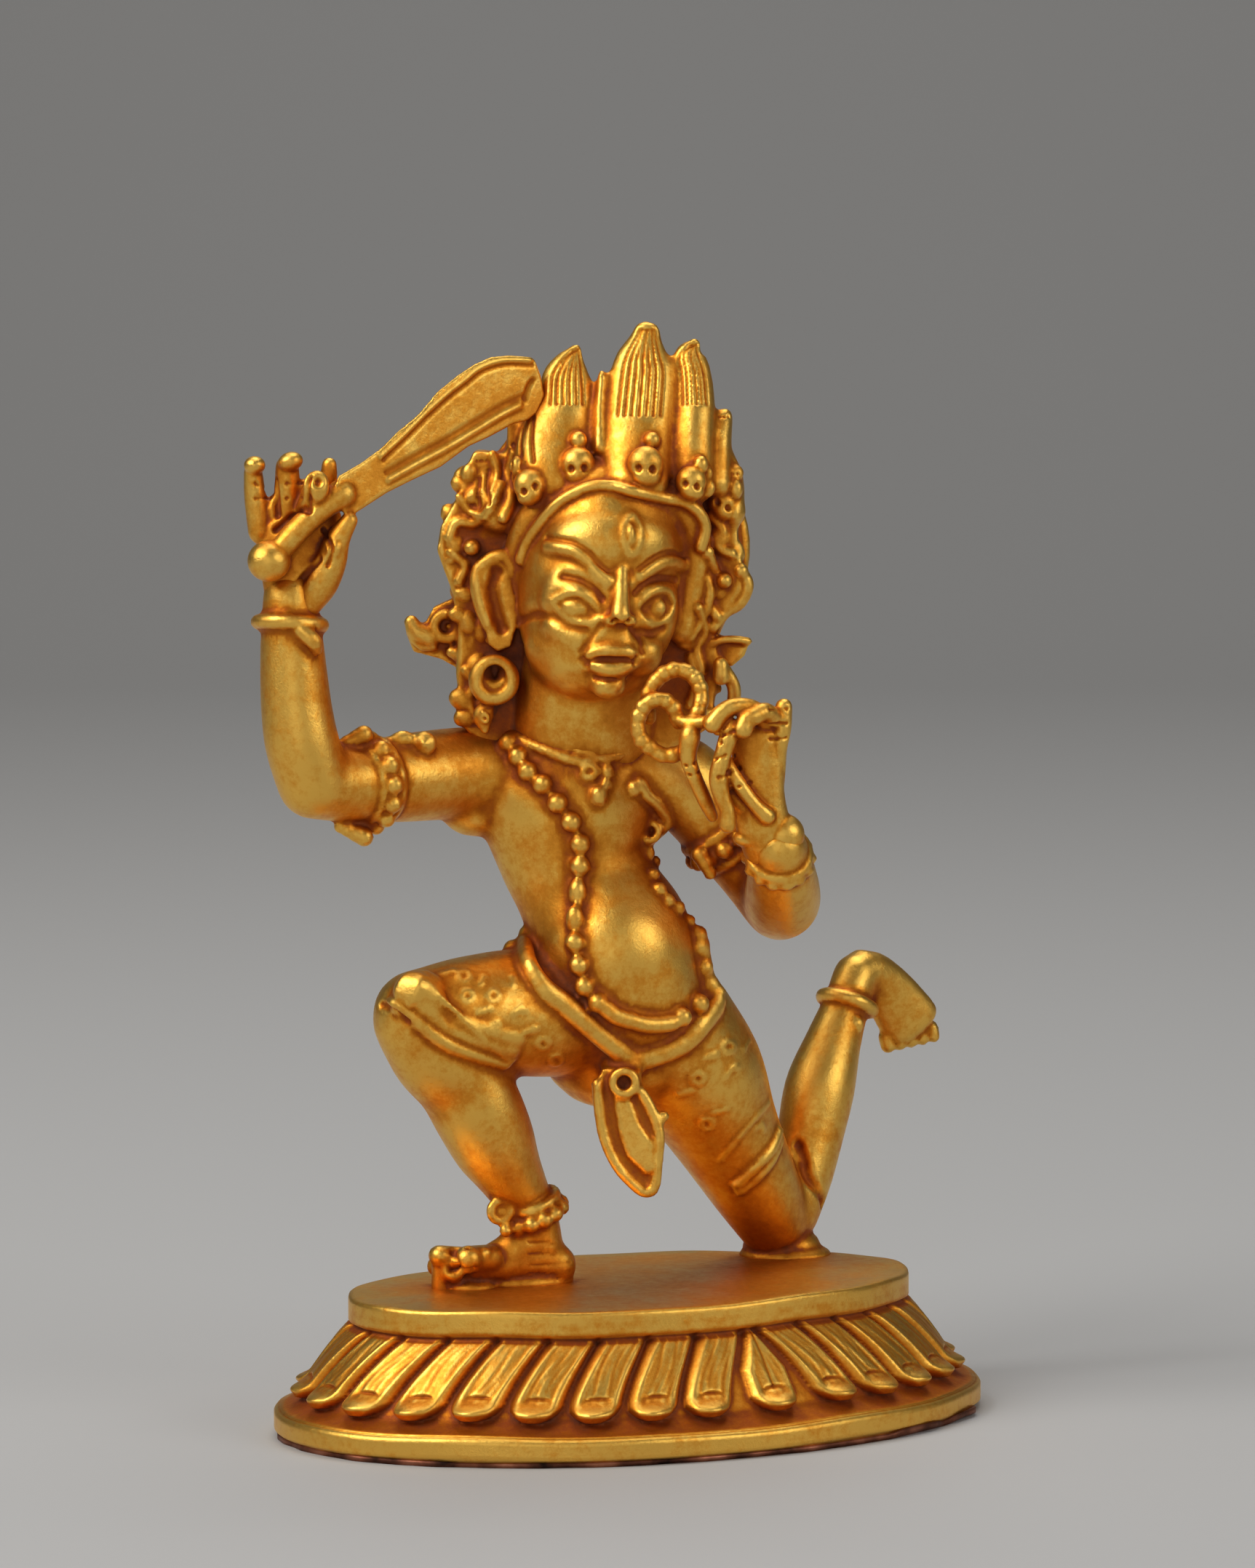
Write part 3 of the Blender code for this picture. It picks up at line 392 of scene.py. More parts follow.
dress = {
    "belt": [(-6, 18.9), (-5.7, 17.7), (-5, 16.4), (-3.7, 15.4), (-2, 14.1), (-0.8, 13.1), (0.14, 12.5),
             (1.5, 12.8), (2.8, 13.4), (3.8, 14.4), (4.6, 15.6), (5, 16.8), (5.1, 17.9), (4.6, 18.9)],
    "hem": [(-13.9, 15.9), (-13, 15.5), (-11.9, 14.8), (-10.8, 13.8), (-9.7, 13.1), (-8.3, 12.6),
        (-6.9, 12.2)],
    "hemLine": [(-10.6, 16), (-9.3, 14.8), (-8.3, 13.8), (-7.2, 12.9), (-6.5, 12.4)],
    "kneeBands": [([(7.5, 10.1), (6.8, 9.3), (5.7, 8), (4.8, 6.9)], 0.17),
                  ([(8, 8.5), (7.6, 7.5), (6.8, 6.6), (5.7, 5.6)], 0.34), ([(8.1, 8), (7.7, 7), (7, 6.1),
                      (5.9, 5.2)], 0.3)],
    # raised rings and dashes on the cloth
    "marks": [(-7.5, 15.9), (-6.5, 16.7), (-8, 15.1), (-8.9, 15.9), (-6.1, 15), (-5.5, 14), (-4.8, 13.3),
              (-7.4, 14.2), (-10, 17.2), (-9.1, 17), (-8.1, 16.8), (-6.5, 13.3), (-4.1, 12.4),
              (5.4, 11.7), (4.3, 12.6), (5.3, 13.1), (6.3, 13.2), (4.8, 9.6), (4.1, 8.9), (7, 8.6),
              (2.9, 10.6), (3.6, 11.4)],
    "flap": [(-1.5, 12.4), (-2, 11.4), (-1.9, 10.2), (-1.6, 8.5), (-0.89, 7), (0.03, 6), (0.77, 5.5),
        (1.32, 5.8), (1.5, 7.2),
             (1.6, 8.7), (1.13, 10), (0.6, 10.9), (0.5, 12.2)],
    "leaf": [(-0.99, 10.9), (-0.62, 8.7), (-0.25, 7.6), (0.77, 6.6), (1.1, 7), (1.13, 8.3), (0.4, 9.4),
        (-0.06, 10.7)],
}


def clothForms(forms, tree):
    drawOut(forms, [(*p, 0.64, 0.5) for p in layOn(tree, dress["belt"], 0.1)], side=(0, 0, 1), sides=24)
    for x, z, size in ((-6.5, 18.9, 0.6), (-5.9, 19.2, 0.5), (4.5, 18.8, 0.78)):
        stud(forms, tree, x, z, 0, size)
    # flap that hangs between the legs, with a leaf on it
    drawOut(forms, [(-0.3, -0.5, 13.2, 1.5), (-0.5, -2, 12.3, 1.2, 0.9)])
    slab(forms, [(x, -3.1, z) for x, z in dress["flap"]], 0.8)
    cord(forms, [(x * 0.93, -3.1, z + 0.1) for x, z in dress["flap"][1:-1]], 0.32)
    slab(forms, [(x, -3.4, z) for x, z in dress["leaf"]], 0.5)
    hoop(forms, (-0.4, -3.4, 11.6), (0, -1, 0), 0.62, 0.26)
    ball(forms, (1.7, -2.9, 9.7), 0.34)
    # wrapped cloth: its hem stands proud of the shin, its marks are raised
    for shift, size, lift in ((0, 0.4, -0.04), (0.8, 0.9, -0.66), (1.5, 0.9, -0.72)):
        line = [(x + shift * 0.45, z + shift * 0.8) for x, z in dress["hem"]]
        drawOut(forms, [(*p, size) for p in layOn(tree, line, lift)], side=(0, 0, 1))
    cord(forms, layOn(tree, dress["hemLine"], 0.12), 0.14)
    for points, size in dress["kneeBands"]:
        drawOut(forms, [(*p, size) for p in layOn(tree, points, -0.05)], sides=14)
    for number, (x, z) in enumerate(dress["marks"]):
        across, up = 0.36 * math.cos(number * 1.7), 0.3 * math.sin(number * 2.3)
        if number % 3 == 0:
            ring = [(x + 0.34 * math.cos(a), z + 0.3 * math.sin(a)) for a in (0, 1.05, 2.1, 3.1, 4.2, 5.2,
                6.3)]
            cord(forms, layOn(tree, ring, -0.02), 0.12, sides=8)
        elif number % 3 == 1:
            cord(forms, layOn(tree, [(x - across, z - up), (x + 0.1, z + 0.25), (x + across, z + up)],
                -0.05), 0.15, sides=8)
        else:
            cord(forms, layOn(tree, [(x - 0.35, z - 0.1), (x + 0.35, z + 0.12)], -0.06), 0.17, sides=8)


jewels = {
    "chain": [(-6.6, 29.6), (-6.1, 28.9), (-5.6, 28.1), (-4.8, 27.4), (-4, 26.4), (-3.3, 25.4), (-2.8, 24.2),
              (-2.8, 23), (-3, 18.8), (-2.8, 17.6), (-2.5, 16.5), (-1.8, 15.6)],
    "long": [(-2.9, 21.5), (-3, 20)],
    "chainEnd": [(2.6, 14.8), (3.5, 15.5), (4.1, 16.4), (4.1, 17.5), (3.8, 18.5), (3.5, 19.2)],
    "beadSize": 0.55,
    "collar": [(-6.9, 30.4), (-5.9, 29.8), (-4.8, 29.3), (-3.5, 28.8), (-2.5, 28.6)],
    "strap": [(0.45, 27.5), (0.77, 26.9), (1.5, 26.3), (1.7, 25), (1.5, 24.1), (0.87, 23.6)],
}


def jewelForms(forms, tree):
    size = jewels["beadSize"]
    for x, z in jewels["chain"] + jewels["chainEnd"]:
        stud(forms, tree, x, z, 0.22, size)
    for x, z in jewels["long"]:
        stud(forms, tree, x, z, 0.2, (size * 0.9, size * 0.85, size * 1.45))
    cord(forms, layOn(tree, jewels["chain"], 0.05), 0.26)
    cord(forms, layOn(tree, [(-1.4, 15.3), (-0.9, 14.9), (-0.38, 14.7), (0.05, 14.6)], 0.15), 0.5, sides=16)
    cord(forms, layOn(tree, [(0.3, 14.5), (0.87, 14.4), (1.5, 14.4), (2.1, 14.5)], 0.15), 0.5, sides=16)
    for x, z, lump in ((3.1, 20, 0.34), (2.5, 20.7, 0.4), (2, 21.1, 0.36), (1.5, 21.7, 0.4),
            (1.2, 22.5, 0.34), (1.2, 23.2, 0.36)):
        stud(forms, tree, x, z, 0.05, lump)
    # collar: wires that end in a scroll, with drops, and a pierced strap
    cord(forms, layOn(tree, jewels["collar"], 0.1), 0.3)
    cord(forms, layOn(tree, [(x + 0.35, z + 0.6) for x, z in jewels["collar"]], 0.05), 0.26)
    hoop(forms, layOn(tree, [(-2.3, 28.1)], 0.15)[0], (0, -1, 0.1), 0.34, 0.2)
    cord(forms, layOn(tree, [(-2.5, 28.7), (-1.2, 28.9), (0.2, 29.4), (1.2, 30.1)], 0.08), 0.3)
    for x, z, drop in ((-1.8, 26.8, 0.46), (-1.35, 28.1, 0.36), (-1.4, 27.4, 0.26), (0.1, 27.2, 0.32)):
        stud(forms, tree, x, z, 0.08, (drop, drop * 0.8, drop * 1.2))
    cord(forms, layOn(tree, jewels["strap"], 0.1), 0.34)
    hoop(forms, layOn(tree, [(0.87, 24.9)], 0.12)[0], (0, -1, 0.1), 0.5, 0.22)
    # armlet of the raised arm: beads round the arm, a flower in front, lumpy leaves beside it
    around = Vector((0.76, 0.65, 0.08))
    hoop(forms, (-13.7, -2.9, 27.9), around, 2.2, 0.3)
    beadHoop(forms, (-14.2, -3.2, 27.8), around, 2.4, 0.52, 14)
    hoop(forms, (-14.6, -3.6, 27.8), around, 2.1, 0.26)
    ball(forms, (-11.1, -3.1, 29.9), (0.68, 0.5, 0.66))
    ball(forms, (-11.1, -3.5, 29.9), 0.26)
    drawOut(forms, [(-11.6, -3, 30, 0.36), (-12.3, -3.1, 30.1, 0.5, 0.4), (-12.9, -3.2, 30, 0.3)],
        side=(0, 0, 1))
    for z, s in ((30.2, 1), (25.2, -1)):
        for k in range(4):
            ball(forms, (-14.3 - 0.42 * k, -4.4 - 0.1 * k, z + s * (0.25 - 0.2 * k)), 0.52 - 0.05 * k)
    # armlet of the bent arm
    around = Vector((0.6, 0.15, -0.78))
    hoop(forms, (4.8, 2, 25.1), around, 2.3, 0.3)
    beadHoop(forms, (5.3, 2.1, 24.5), around, 2.4, 0.5, 14)
    hoop(forms, (5.8, 2.3, 23.9), around, 2.2, 0.26)
    for k in range(3):
        ball(forms, (3.7 + 0.28 * k, -0.1, 23.6 - 0.5 * k), 0.5 - 0.06 * k)
    # wrists
    hoop(forms, (-18.1, -6.4, 36.5), (0.05, 0.12, 1), 1.7, 0.4, sides=16)
    drawOut(forms, [(-17.4, -8.1, 36.2, 0.4), (-16.8, -8.1, 35.7, 0.46), (-16.6, -7.8, 35.2, 0.3)])
    around = Vector((0.02, -0.8, 0.62))
    hoop(forms, (7.9, -3.7, 24), around, 1.6, 0.28)
    beadHoop(forms, (7.9, -3.4, 23.7), around, 1.7, 0.36, 14)
    hoop(forms, (8.2, -4.4, 22.8), (0, -1, 0.1), 0.48, 0.26)
    # ankles
    around = Vector((0.5, 0.35, -1.5))
    hoop(forms, (-5.5, -0.9, 4.8), around, 1.5, 0.24)
    beadHoop(forms, (-5.3, -0.85, 4.1), around, 1.6, 0.46, 13)
    hoop(forms, (-7.1, -2.6, 4.5), (0.3, -1, 0), 0.56, 0.24)
    ball(forms, (-7.1, -2.3, 4.5), 0.5)
    ball(forms, (-6.8, -2.6, 3.4), 0.36)
    hoop(forms, (12.2, 13.5, 13.9), Vector((0.5, 0.55, 1.6)), 1.45, 0.42)
    ball(forms, (12.6, 12, 12.9), (0.5, 0.4, 0.5))


def bodyStrokes(tree):
    # the shin's fold and the neck's, dents between the toes, pits on the knob, the sole's crack and marks
    table = [([(-13.6, 15.4), (-13, 15.1), (-12.2, 14.5)], 0.4, -0.2),
             ([(-5.2, 31.2), (-3, 30.5), (-0.9, 30.9)], 0.3, -0.14),
             ([(-5, 32), (-3, 31.4), (-1, 31.7)], 0.3, -0.12),
             ([(-9.6, 2.6), (-9.7, 1.9), (-9.5, 1.2)], 0.3, -0.3),
             ([(-8.9, 2.1)], 0.26, -0.22),
             ([(-9.9, 0.9), (-9.3, 0.8), (-8.6, 0.8)], 0.42, -0.5)]
    for z in (2.4, 1.8, 1.2, 0.7):
        table.append(([(-5.6, z), (-4.4, z - 0.05), (-3.3, z + 0.1)], 0.13, -0.05))
    kneeFold = hug(tree, [(8.6, 7.4, 8.6), (9.2, 8.2, 6.6), (9.6, 9, 4.6), (9.8, 9.6, 3.4)])
    return strokesOn(tree, table) + [(kneeFold, 0.5, -0.35)]


def mountForms(forms):
    # solder under the knee and the sole
    ball(forms, (8.4, 9.2, 0.75), (2.2, 1.8, 1.2))
    ball(forms, (8.6, 9.2, 0.3), (2.6, 2.1, 0.7))
    ball(forms, (-5.6, -0.9, 0.35), (2.6, 1.2, 0.6), turn=(0, 0, 18))
    ball(forms, (-8.8, -2.2, 0.3), (1.5, 1.2, 0.5))


# Head

face = {"brow": {"size": 0.46, "left": [(-4.6, 40.3), (-4, 40.2), (-3.1, 40), (-2.3, 39.5), (-1.8, 38.9),
    (-1.3, 38.5)], "right": [(0.45, 38.6), (0.95, 39), (1.6, 39.4), (2.2, 39.5), (2.8, 39.3)]},
    "upperLid": {"left": [(-4.3, 37.3), (-3.6, 37.7), (-2.9, 37.8), (-2.2, 37.4), (-1.8, 36.9)],
    "right": [(0.3, 37.1), (0.8, 37.6), (1.4, 38), (2, 37.9), (2.3, 37.4)]},
    "lowerLid": {"left": [(-4.2, 37.2), (-3.6, 36.6), (-2.8, 36.2), (-2.1, 36.2), (-1.7, 36.5)],
    "right": [(0.35, 36.8), (0.8, 36.2), (1.5, 36.1), (2, 36.5), (2.3, 37)]},
    "socket": {"left": [(-3.9, 37.1), (-3, 37), (-2.1, 36.9)], "right": [(0.75, 37), (1.3, 37),
    (1.9, 37.1)]}, "lidCrease": {"left": [(-3.7, 38.7), (-2.8, 38.5), (-2, 38), (-1.6, 37.5)],
    "right": [(0.2, 37.8), (0.85, 38.4), (1.6, 38.6), (2.4, 38.5)]}, "cheekCrease": {"left": [(-6, 36.3),
    (-5.2, 36.6), (-4.4, 36.5), (-3.5, 36), (-2.5, 35.8)], "right": [(0.4, 35.7), (1.1, 35.6),
    (1.7, 35.9)]},}


def headForms():
    # the head's outline leans to the side of the raised arm, and its front is turned the other way
    shape = []
    drawOut(shape, [(-1.45, 0.2, 41.6, 4.2, 4.3), (-1.4, -0.3, 40.1, 4.3, 4.4), (-1.8, -0.5, 38.6, 4.4, 4.3),
                    (-2, -0.8, 37.1, 4.2, 4), (-2.1, -1.2, 35.8, 4, 3.5), (-2.1, -1.6, 35, 3.7, 3.1)],
            side=(0.95, 0.31, 0), sides=36)
    ball(shape, (-1.3, -2.5, 37.2), (3.9, 2.6, 4.3), turn=(0, 0, 18), detail=4)
    ball(shape, (-1.1, -2.3, 40.6), (3.6, 2.6, 2.4), turn=(0, 0, 14), detail=4)
    ball(shape, (-3.9, -2.3, 35.1), (1.9, 1.6, 1.7), detail=4)
    ball(shape, (0.45, -3.3, 34.8), (1.25, 1.3, 1.35))
    ball(shape, (-1.1, -4.3, 34.6), (1.7, 0.95, 1.1))
    ball(shape, (-0.9, -4.3, 35.5), (1.2, 0.8, 0.8))
    ball(shape, (-1.25, -4.1, 33.1), (1, 0.9, 0.8))
    drawOut(shape, [(-6.2, -0.3, 36.8, 0.8), (-6, -0.9, 40, 0.9), (-4.9, -1.5, 42.2, 1),
        (-2.4, -1.9, 43.5, 1), (0.3, -1.9, 43.5, 1), (2.8, -1.5, 42.5, 0.9), (3.5, -1, 40.6, 0.8),
        (3.2, -0.7, 38, 0.8), (2.7, -0.7, 35.8, 0.8)], side=(0, 1, 0))
    drawOut(shape, [(-2.7, 1.3, 29.2, 4.5, 3), (-2.6, 0.6, 30.6, 4.1, 2.8), (-2.5, 0.2, 32.6, 3.8, 3),
                    (-2.3, 0.2, 34.4, 3.6, 3.3)], sides=28)
    return shape


def faceForms(forms, tree):
    for line in ("left", "right"):
        cord(forms, layOn(tree, face["brow"][line], -0.2), face["brow"]["size"])
        cord(forms, layOn(tree, face["upperLid"][line], -0.1), 0.27)
        cord(forms, layOn(tree, face["lowerLid"][line], -0.12), 0.25)
    for x, z, wide, high in ((-3, 37, 0.8, 0.5), (1.3, 37, 0.66, 0.55)):
        place = layOn(tree, [(x, z)], -0.1)[0]
        ball(forms, place, (wide, 0.42, high), turn=(0, 10 if x < 0 else -8, 0), detail=4)
    # nose
    top = layOn(tree, [(-0.44, 39.2)], -0.2)[0]
    low = layOn(tree, [(-0.6, 36.8)], 0)[0]
    drawOut(forms, [(*top, 0.3), (top[0] - 0.06, (top[1] + low[1]) / 2 - 0.25, 38.1, 0.42),
                    (low[0], low[1] - 0.5, 37.1, 0.52)], sides=18)
    ball(forms, (low[0], low[1] - 0.55, 36.9), (0.56, 0.55, 0.45))
    for s in (-1, 1):
        ball(forms, (low[0] + 0.52 * s, low[1] - 0.15, 36.6), (0.4, 0.45, 0.33))
    # lips, and the eye on the forehead
    cord(forms, layOn(tree, [(-2.5, 34.3), (-1.9, 34.6), (-1.2, 34.7), (-0.7, 34.6), (-0.2, 34.6),
        (0.2, 34.3)], -0.1), 0.36)
    cord(forms, layOn(tree, [(-2.2, 34), (-1.5, 33.7), (-0.9, 33.6), (-0.3, 33.8), (0, 34)], -0.1), 0.42)
    eye = [(0.05, 42.1), (-0.36, 41.5), (-0.46, 40.9), (-0.3, 40.3), (0, 39.8), (0.34, 40.3), (0.46, 40.9),
           (0.4, 41.5), (0.05, 42.1)]
    cord(forms, layOn(tree, eye, -0.06), 0.2)
    stud(forms, tree, 0, 40.9, -0.04, (0.22, 0.34, 0.62))


def socketStrokes(tree):
    # hollows that the eyes sit in, pressed in before the eyes are put there
    table = [([(-2.3, 34.1), (-1.1, 34.2), (0.1, 34.1)], 0.6, -0.2),
             ([(-1.6, 38.6), (-0.9, 39)], 0.4, -0.12), ([(0.1, 38.9), (0.5, 38.4)], 0.4, -0.12)]
    for name, halfWidth, depth in (("socket", 1.15, -0.42), ("lidCrease", 0.55, -0.2),
            ("cheekCrease", 0.8, -0.2)):
        table += [(line, halfWidth, depth) for line in face[name].values()]
    return strokesOn(tree, table)


def faceStrokes(tree):
    # lips, the corners of the mouth, nostrils, the folds beside the nose, the holes in the disc and the ear
    table = [([(-2.4, 34.1), (-1.7, 34.2), (-1.2, 34.2), (-0.5, 34.2), (0.15, 34.1)], 0.22, -0.16),
             ([(-2, 33.2), (-1.1, 33.1), (-0.3, 33.2)], 0.22, -0.16),
             ([(-2.7, 34.2), (-2.5, 33.9)], 0.4, -0.26), ([(0.35, 34.3), (0.25, 34)], 0.35, -0.22),
             ([(-1, 36.2), (-0.85, 36.3)], 0.24, -0.4), ([(-0.3, 36.2), (-0.15, 36.3)], 0.22, -0.35),
             ([(-1.7, 36), (-2.3, 35.3), (-2.7, 34.6)], 0.4, -0.12),
             ([(0, 35.9), (0.45, 35.3), (0.6, 34.6)], 0.35, -0.12), ([(-7.4, 33.4)], 0.66, -0.7),
             ([(-7.3, 38.9), (-7.5, 38), (-7.3, 36.9), (-7, 35.9)], 0.55, -0.3)]
    for side in ("left", "right"):
        table += [(face["lidCrease"][side], 0.3, -0.1), (face["cheekCrease"][side], 0.4, -0.1),
                  ([(x, z + 0.5) for x, z in face["brow"][side]], 0.3, -0.1)]
    return strokesOn(tree, table)


def earForms(forms):
    # the ear near the raised arm: a broad strap that bends over at the top, with a pierced disc hung below it
    slab(forms, [(x, -1.5, z) for x, z in ((-6.6, 38.7), (-6.3, 39.3), (-6.6, 39.9), (-7.3, 40),
        (-8.2, 39.5), (-8.6, 38.4), (-8.4, 37.2), (-7.9, 36.1), (-7.7, 35.1), (-7.2, 34.7), (-6.5, 35),
        (-6.1, 36.5), (-6.3, 37.6))], 1.7)
    cord(forms, [(-6.5, -1, 38.5), (-6.4, -1.2, 39.2), (-6.8, -1.2, 39.8), (-7.5, -1.2, 39.7),
        (-8.2, -1.1, 39.1), (-8.3, -1.2, 38.2), (-8.1, -1.2, 37.2), (-7.7, -1.2, 36.2)], 0.42)
    cord(forms, [(-7.7, -1.1, 35.3), (-7.2, -1.2, 35.5), (-6.7, -1.1, 35.3)], 0.2)
    drawOut(forms, [(-7.4, 0.2, 33.2, 1.15, 1.3), (-7.4, -0.9, 33.2, 1.2, 1.2)], side=(1, 0, 0), sides=28)
    hoop(forms, (-7.4, -1.8, 33.2), (0.1, -1, 0), 0.96, 0.44)
    drawOut(forms, [(-7.8, -1.3, 31.8, 0.4), (-8, -1.4, 31.2, 0.58, 0.45), (-7.9, -1.4, 30.5, 0.25)])
    cord(forms, [(-8, -1.9, 31.5), (-7.7, -1.9, 31.2), (-7.8, -1.9, 30.9), (-8.1, -1.8, 31.1),
        (-8, -1.9, 31.5)], 0.09)
    drawOut(forms, [(-8.6, 0.5, 40.3, 0.5), (-8.6, -1.3, 40.3, 0.42)], side=(1, 0, 0), sides=16)
    # ribbon knot behind it: a pierced leaf with a strap that curls round
    slab(forms, [(x, 0.2, z) for x, z in ((-9.6, 37.5), (-10.7, 37), (-11.2, 36.1), (-11.9, 36.2),
        (-12.2, 35.6), (-11.8, 34.6), (-10.3, 34.2), (-9.4, 33.7), (-8.6, 34.4), (-8.5, 36.5))], 1.5)
    hoop(forms, (-10, 0, 36), (0, -1, 0), 0.66, 0.3)
    ball(forms, (-9.9, 0.1, 36), 0.15)
    cord(forms, [(-9.5, 0, 37.9), (-9.2, -0.2, 37.2), (-8.7, -0.3, 36.3), (-8.6, -0.3, 35.3),
        (-9, -0.2, 34.5), (-9.7, 0, 34.6)], 0.34)
    drawOut(forms, [(-10.9, 0.2, 35.4, 0.6), (-11.6, 0.1, 35.7, 0.55), (-11.9, 0.1, 36.2, 0.4)],
        side=(0, 0, 1))
    cord(forms, [(-10.7, 0.1, 34.9), (-11.3, 0.1, 34.9), (-11.8, 0.1, 35.3)], 0.24)
    # the far ear, a leaf, a bead and straps
    drawOut(forms, [(3.4, -0.4, 38.8, 0.8, 0.5), (3.5, -0.4, 37, 0.75, 0.5), (2.9, -0.6, 35.2, 0.6, 0.45)])
    cord(forms, [(3.1, -1, 38.9), (3.8, -0.9, 38.9), (4.2, -0.8, 37.9), (3.8, -0.8, 36.6),
        (3.1, -0.9, 35.4)], 0.32)
    drawOut(forms, [(5, 0.6, 38.5, 0.45), (5, -1, 38.5, 0.42)], side=(1, 0, 0), sides=16)
    ball(forms, (5.9, -0.3, 39), 0.42)
    cord(forms, [(5.9, -0.1, 38.9), (6.2, 0, 38.2), (5.8, 0, 37.3), (5, -0.1, 36.8), (4.4, -0.3, 36)], 0.42)
    cord(forms, [(5.2, 0, 40.8), (5.7, -0.1, 40.3), (5.8, 0, 39.7), (5.2, -0.2, 39.4)], 0.3)
    slab(forms, [(x, -0.2, z) for x, z in ((4, 36), (4.5, 35.6), (5.1, 35.4), (6.4, 35.2), (6.1, 34.4),
        (5.4, 33.8), (4.6, 34), (3.8, 34.4))], 1.2)
    cord(forms, [(4.4, -0.4, 35.1), (5, -0.5, 35.3), (5.7, -0.4, 35.3), (6.3, -0.2, 35.2)], 0.22)
    drawOut(forms, [(4.8, -1, 34, 0.42), (4.8, -1, 33.3, 0.46)], sides=16)
    cord(forms, [(5, -0.8, 33.7), (5.5, -0.6, 32.8), (5.5, -0.4, 31.9), (5.2, -0.2, 31.2),
        (4.7, 0.2, 30.4)], 0.38)


crown = {"band": [(-5.9, 39.6), (-5.5, 40.6), (-4.8, 41.6), (-4, 42.5), (-3.1, 43.1), (-2.1, 43.5),
    (-1.05, 43.5), (0.2, 43.3), (1.6, 43), (2.8, 42.7), (3.6, 42.1), (3.9, 41.3), (3.7, 40.3)],
    "bandSize": 0.34, "skulls": [((-5.5, 43.5), 0.95, -24), ((-2.9, 44.6), 1.02, -4), ((0.75, 44.6),
    1.06, 4), ((3.2, 43.7), 0.9, 12), ((4.9, 42.6), 0.86, 26)], "tops": [((-6.1, 44.6), 0.44, 1.3),
    ((-2.9, 46), 0.48, 1.1), ((1.07, 46), 0.46, 1), ((3.7, 44.7), 0.42, 1.2), ((5.5, 43.4), 0.42, 1.3)],}


def crownForms(forms, tree):
    cord(forms, layOn(tree, crown["band"], 0.12), crown["bandSize"])
    strokes = []
    for (x, z), size, turn in crown["skulls"]:
        place = Vector(layOn(tree, [(x, z)], 0)[0])
        ball(forms, place + Vector((0, 0, 0.12 * size)), (size * 0.92, size * 0.75, size * 0.95),
            turn=(0, turn, 0), detail=4)
        ball(forms, place + Vector((0.03, -0.08, -size * 0.4)), (size * 0.78, size * 0.7, size * 0.62),
            turn=(0, turn, 0))
        across = Vector((math.cos(math.radians(turn)), 0, -math.sin(math.radians(turn))))
        for s in (-1, 1):
            eye = place + across * 0.38 * s * size + Vector((0, -0.66 * size, -0.05 * size))
            strokes.append(([tuple(eye)], 0.32 * size, -0.26 * size))
    for (x, z), size, tall in crown["tops"]:
        stud(forms, tree, x, z, 0.12, (size, size, size * tall))
    return strokes


hair = {
    # outline of the mass on each side of the head, as seen from the front
    "left": [(-6.7, 47.2), (-6.7, 46.3), (-6.7, 45.3), (-8.5, 45.5), (-8.9, 44.6), (-9.3, 43.2),
        (-10.3, 41.4), (-10.5, 40.1),
             (-10.1, 39), (-9.7, 37.9), (-9.4, 36), (-9.5, 33.4), (-9.3, 32), (-9, 30.4), (-7, 28.9),
                 (-4, 30),
             (-3, 36), (-3, 46)],
    "right": [(1, 46), (5, 46.4), (6, 44.3), (6, 43.2), (6.2, 42.1), (5.7, 41.5), (5.8, 40.4), (6, 39.6),
              (6, 38), (5.2, 36.6), (4.4, 35.9), (4.7, 34.4), (4.6, 32.6), (4.3, 30.6), (2, 29), (-1, 30),
              (-1, 38)],
    # each flame: its path from root to tip with half-width and half-depth, then how many lines it has
    "flames": [
        {"way": [(0.2, -2.6, 43.8, 1.8, 1.2), (0.25, -1.9, 45.2, 1.8, 1.1), (0.4, -1, 47.4, 1.9, 1),
                 (0.6, -0.2, 49.6, 1.8, 0.85), (0.62, 0.1, 50.5, 1.5, 0.75), (0.75, 0.4, 51.4, 0.95, 0.6),
                 (0.85, 0.5, 52, 0.72, 0.45)], "lines": 7},
        {"way": [(-4.3, -1.6, 43.8, 2.2, 1.2), (-4, -1, 46, 2.1, 1.1), (-3.5, -0.4, 48, 1.5, 1),
                 (-3.5, 0, 49.3, 1.4, 0.8), (-3.3, 0.2, 50.2, 0.95, 0.6),
                     (-3, 0.3, 50.9, 0.35, 0.4)], "lines": 6},
        {"way": [(-1.7, -1.8, 45.6, 0.4, 0.6), (-1.7, -1.1, 47.6, 0.3, 0.6),
            (-1.6, -0.5, 49.6, 0.22, 0.5)], "lines": 0},
        {"way": [(3.3, -1.5, 43.8, 1.2, 1.2), (3.3, -1, 46, 1.15, 1.1), (3.4, -0.3, 48, 1.1, 1),
                 (3.3, 0.1, 49.6, 1, 0.8), (3.1, 0.3, 50.6, 0.85, 0.6),
                     (3.4, 0.4, 51.2, 0.35, 0.4)], "lines": 6},
        {"way": [(4.7, -0.8, 43.6, 0.7, 1), (4.8, -0.2, 45.8, 0.6, 0.9), (5, 0.3, 47.3, 0.48, 0.6)],
            "lines": 3},
        {"way": [(5.5, -0.2, 42, 0.6, 0.9), (5.6, 0.2, 43.4, 0.5, 0.8), (5.6, 0.4, 44.2, 0.42, 0.5)],
            "lines": 2},
        {"way": [(-6.9, -0.4, 42.2, 1.5, 1.2), (-7.6, 0, 43.8, 1.2, 0.9), (-8.1, 0.2, 44.9, 0.5, 0.5)],
            "lines": 3},
        {"way": [(-5.4, 0, 44.5, 1.3, 1.2), (-5.6, 0.4, 46.6, 1.1, 1), (-5.2, 0.6, 48.4, 0.6, 0.6)],
            "lines": 3},
    ],
    "backStrands": 21,
    "backReach": 84,       # degrees to each side of straight back
    "backSize": 0.62,
}


